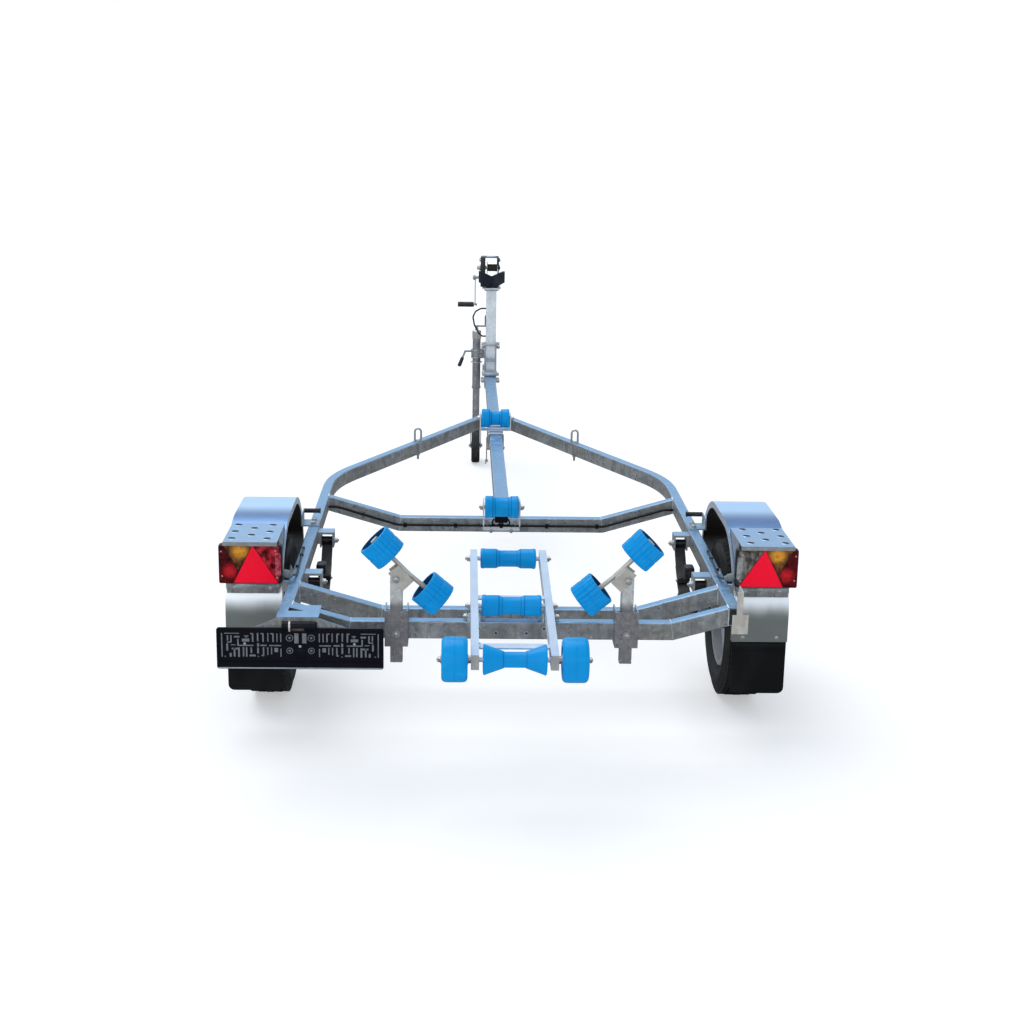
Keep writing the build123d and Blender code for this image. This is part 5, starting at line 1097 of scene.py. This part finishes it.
# Crank: plated arm with a boss on the left, a black ratchet wheel on the right and a ribbed black grip.
grip_black = two_tone("grip plastic", (80, 3), (0.007, 0.007, 0.008), (0.022, 0.022, 0.024),
                      grain=(300, 2, 0.0003, 0.4), Roughness=0.38)
crank = bmesh.new()
grip = [(0, 0), (0, 11), (2, 14.2)]
for ring in range(12):
    grip += [(5 + ring * 7, 15.2), (8.5 + ring * 7, 15.2), (10 + ring * 7, 14.4)]
grip += [(92, 15.2), (95, 13.5), (96.5, 9), (96.5, 0)]
turned(crank, grip, at(-101, winch_ahead, grip_up), (-1, 0, 0), 36)
turned(crank, [(0, 0), (0, 15.2), (3, 16), (7, 16), (9, 12), (12, 8), (13, 0)], at(-98, winch_ahead, crank_up),
       (-1, 0, 0), 32, finish=1)
gear(crank, at(43.6, winch_ahead, crank_up), RIGHT, 19, 15, 12, 5, 2)
bolt(crank, at(48.6, winch_ahead, crank_up), RIGHT, 15, 6, finish=1)
bolt(crank, at(-92, winch_ahead, grip_up), RIGHT, 12, 6, finish=1)
finished("winch-crank-grip", crank, "winch_crank_body", "black_plastic", grip_black, bolt_zinc, winch_black)

# ================= jockey wheel =================

# Jockey: plated tubes in a split clamp with a lever, a cranked top handle, and a black wheel in a fork.
plated = galvanised("plated tube", (0.42, 0.42, 0.44), (0.17, 0.17, 0.18), (0.30, 0.285, 0.275),
                    painted_sky_tint=(0.44, 0.48, 0.55), crystal=140.0)
dress(plated, "jockey_tube", "jockey_inner_tube", "jockey_fork", "jockey_clamp", "coupling")
trim = bmesh.new()
tube_at, tube_radius = (-82, 4300), 24.3
for up, half, edge, outer in ((612, 2, 1, 35), (640, 3, 1.5, 33), (683, 3, 1.5, 33)):
    turned(trim, [(-half, tube_radius), (-half, outer), (-edge, outer + 1), (edge, outer + 1), (half, outer),
                  (half, tube_radius)], at(*tube_at, up), UP, 44, closed=True)
for up in (652, 672):
    bolt(trim, at(-58, 4280, up), BACK, 13, 7, 3)
for place, along, lever in (
    ((-165, 4300, 638), (-37, 0, -92), [(0, 0), (0, 8), (3, 10), (48, 11.5), (58, 9.5), (61, 0)]),
    ((-24, 4300, 832), UP, [(0, 0), (0, 9), (2, 11.5), (52, 12.2), (60, 10), (63, 0)]),
):
    turned(trim, lever, at(*place), along, 24, finish=1)
turned(trim, [(-40, 25.4), (-40, 26.6), (0, 26.6), (5, 26.3), (9, 20), (11, 12), (18, 10), (19, 7)],
       at(*tube_at, 793), UP, 36)
finished("jockey-clamp-trim", trim, "frame", "zinc_bracket", bolt_zinc, grip_black)

# Jockey wheel: black rubber tyre with grooves round it, on a grey moulded hub with six spokes a side.
wheel_black = two_tone("jockey wheel rubber", (30, 5), (0.010, 0.010, 0.011), (0.045, 0.043, 0.042),
                       (0.45, 0.75), 0.6, grain=(240, 3, 0.0005, 0.5), Roughness=0.55)
dress(wheel_black, "jockey_wheel")
wheel_grey = two_tone("jockey hub plastic", (50, 4), (0.10, 0.105, 0.11), (0.20, 0.205, 0.21), Roughness=0.5)
hub = bmesh.new()
wheel_middle = at(-82, 4268, 105)
for side in (-1, 1):
    turned(hub, [(16.5, 21), (16.5, 65.5), (24.5, 65.5), (25.2, 63), (24, 60), (18.5, 58), (18.5, 26), (24, 24),
                 (25, 21)], wheel_middle, (side, 0, 0), 56, closed=True)
    face = wheel_middle + Vector((side * 0.0185, 0, 0))
    for spoke in range(6):
        out = Vector((0, cos(spoke * pi / 3), sin(spoke * pi / 3)))
        rod(hub, face + out * 0.024, face + out * 0.060, 4.5, 12)
for groove in (-16, 0, 16):
    turned(hub, [(groove - 1.5, 104.2), (groove - 1.2, 105.4), (groove + 1.2, 105.4), (groove + 1.5, 104.2)],
           wheel_middle, RIGHT, 96, closed=True, finish=1)
finished("jockey-wheel-hub", hub, "jockey_wheel_body", "jockey_wheel_plastic", wheel_grey, wheel_black)
trim = bmesh.new()
for side in (-1, 1):
    bolt(trim, at(-82 + side * 33, 4268, 105), (side, 0, 0), 17, 7)
finished("jockey-axle-nuts", trim, "jockey_fork_body", "zinc_bracket", bolt_zinc)

# ================= coupling and lashing eyes =================

# Coupling: plated pressing bolted through the drawbar, with a black sleeve on its lever.
trim = bmesh.new()
block(trim, at(-15.5, 4427, 601), at(15.5, 4497, 618), 6, segments=4)
for side in (-1, 1):
    for ahead in (4424, 4474):
        bolt(trim, at(side * 34, ahead, 520), (side, 0, 0), 17, 8, 3, finish=1)
    turned(trim, [(0, 0), (0, 7), (3, 6), (4, 0)], at(side * 16, 4550, 564), (side, 0, 0), 24, finish=1)
finished("coupling-fixings", trim, "frame", "zinc_bracket", grip_black, bolt_zinc)

# Lashing eyes: bent bar over each arm, its yellowed threaded shank drawn down by a nut and washer.
dress(arm_zinc, "lashing_eyes")
brassy = two_tone("yellow zinc thread", (160, 3), (0.30, 0.22, 0.11), (0.55, 0.42, 0.22), Metallic=0.7,
                  Roughness=0.38)
eye_across, eye_ahead = 378.1, 2315
trim = bmesh.new()
for side in (-1, 1):
    thread = [(0, 0), (0, 4.6)]
    for turn in range(11):
        thread += [(1 + turn * 1.75, 5.5), (1.9 + turn * 1.75, 4.6)]
    across = side * eye_across
    turned(trim, thread + [(21, 4), (21.5, 0)], at(across, eye_ahead, 481), DOWN, 20, finish=1)
    bolt(trim, at(across, eye_ahead, 490), DOWN, 18, 9)
    turned(trim, [(-4.5, 5), (-4.5, 13), (-3, 13.5), (0, 13.5), (0.5, 12), (0.5, 5)],
           at(across, eye_ahead, 554), UP, 32, closed=True)
finished("lashing-eye-nuts", trim, "frame", "galvanised_steel", bolt_zinc, brassy)
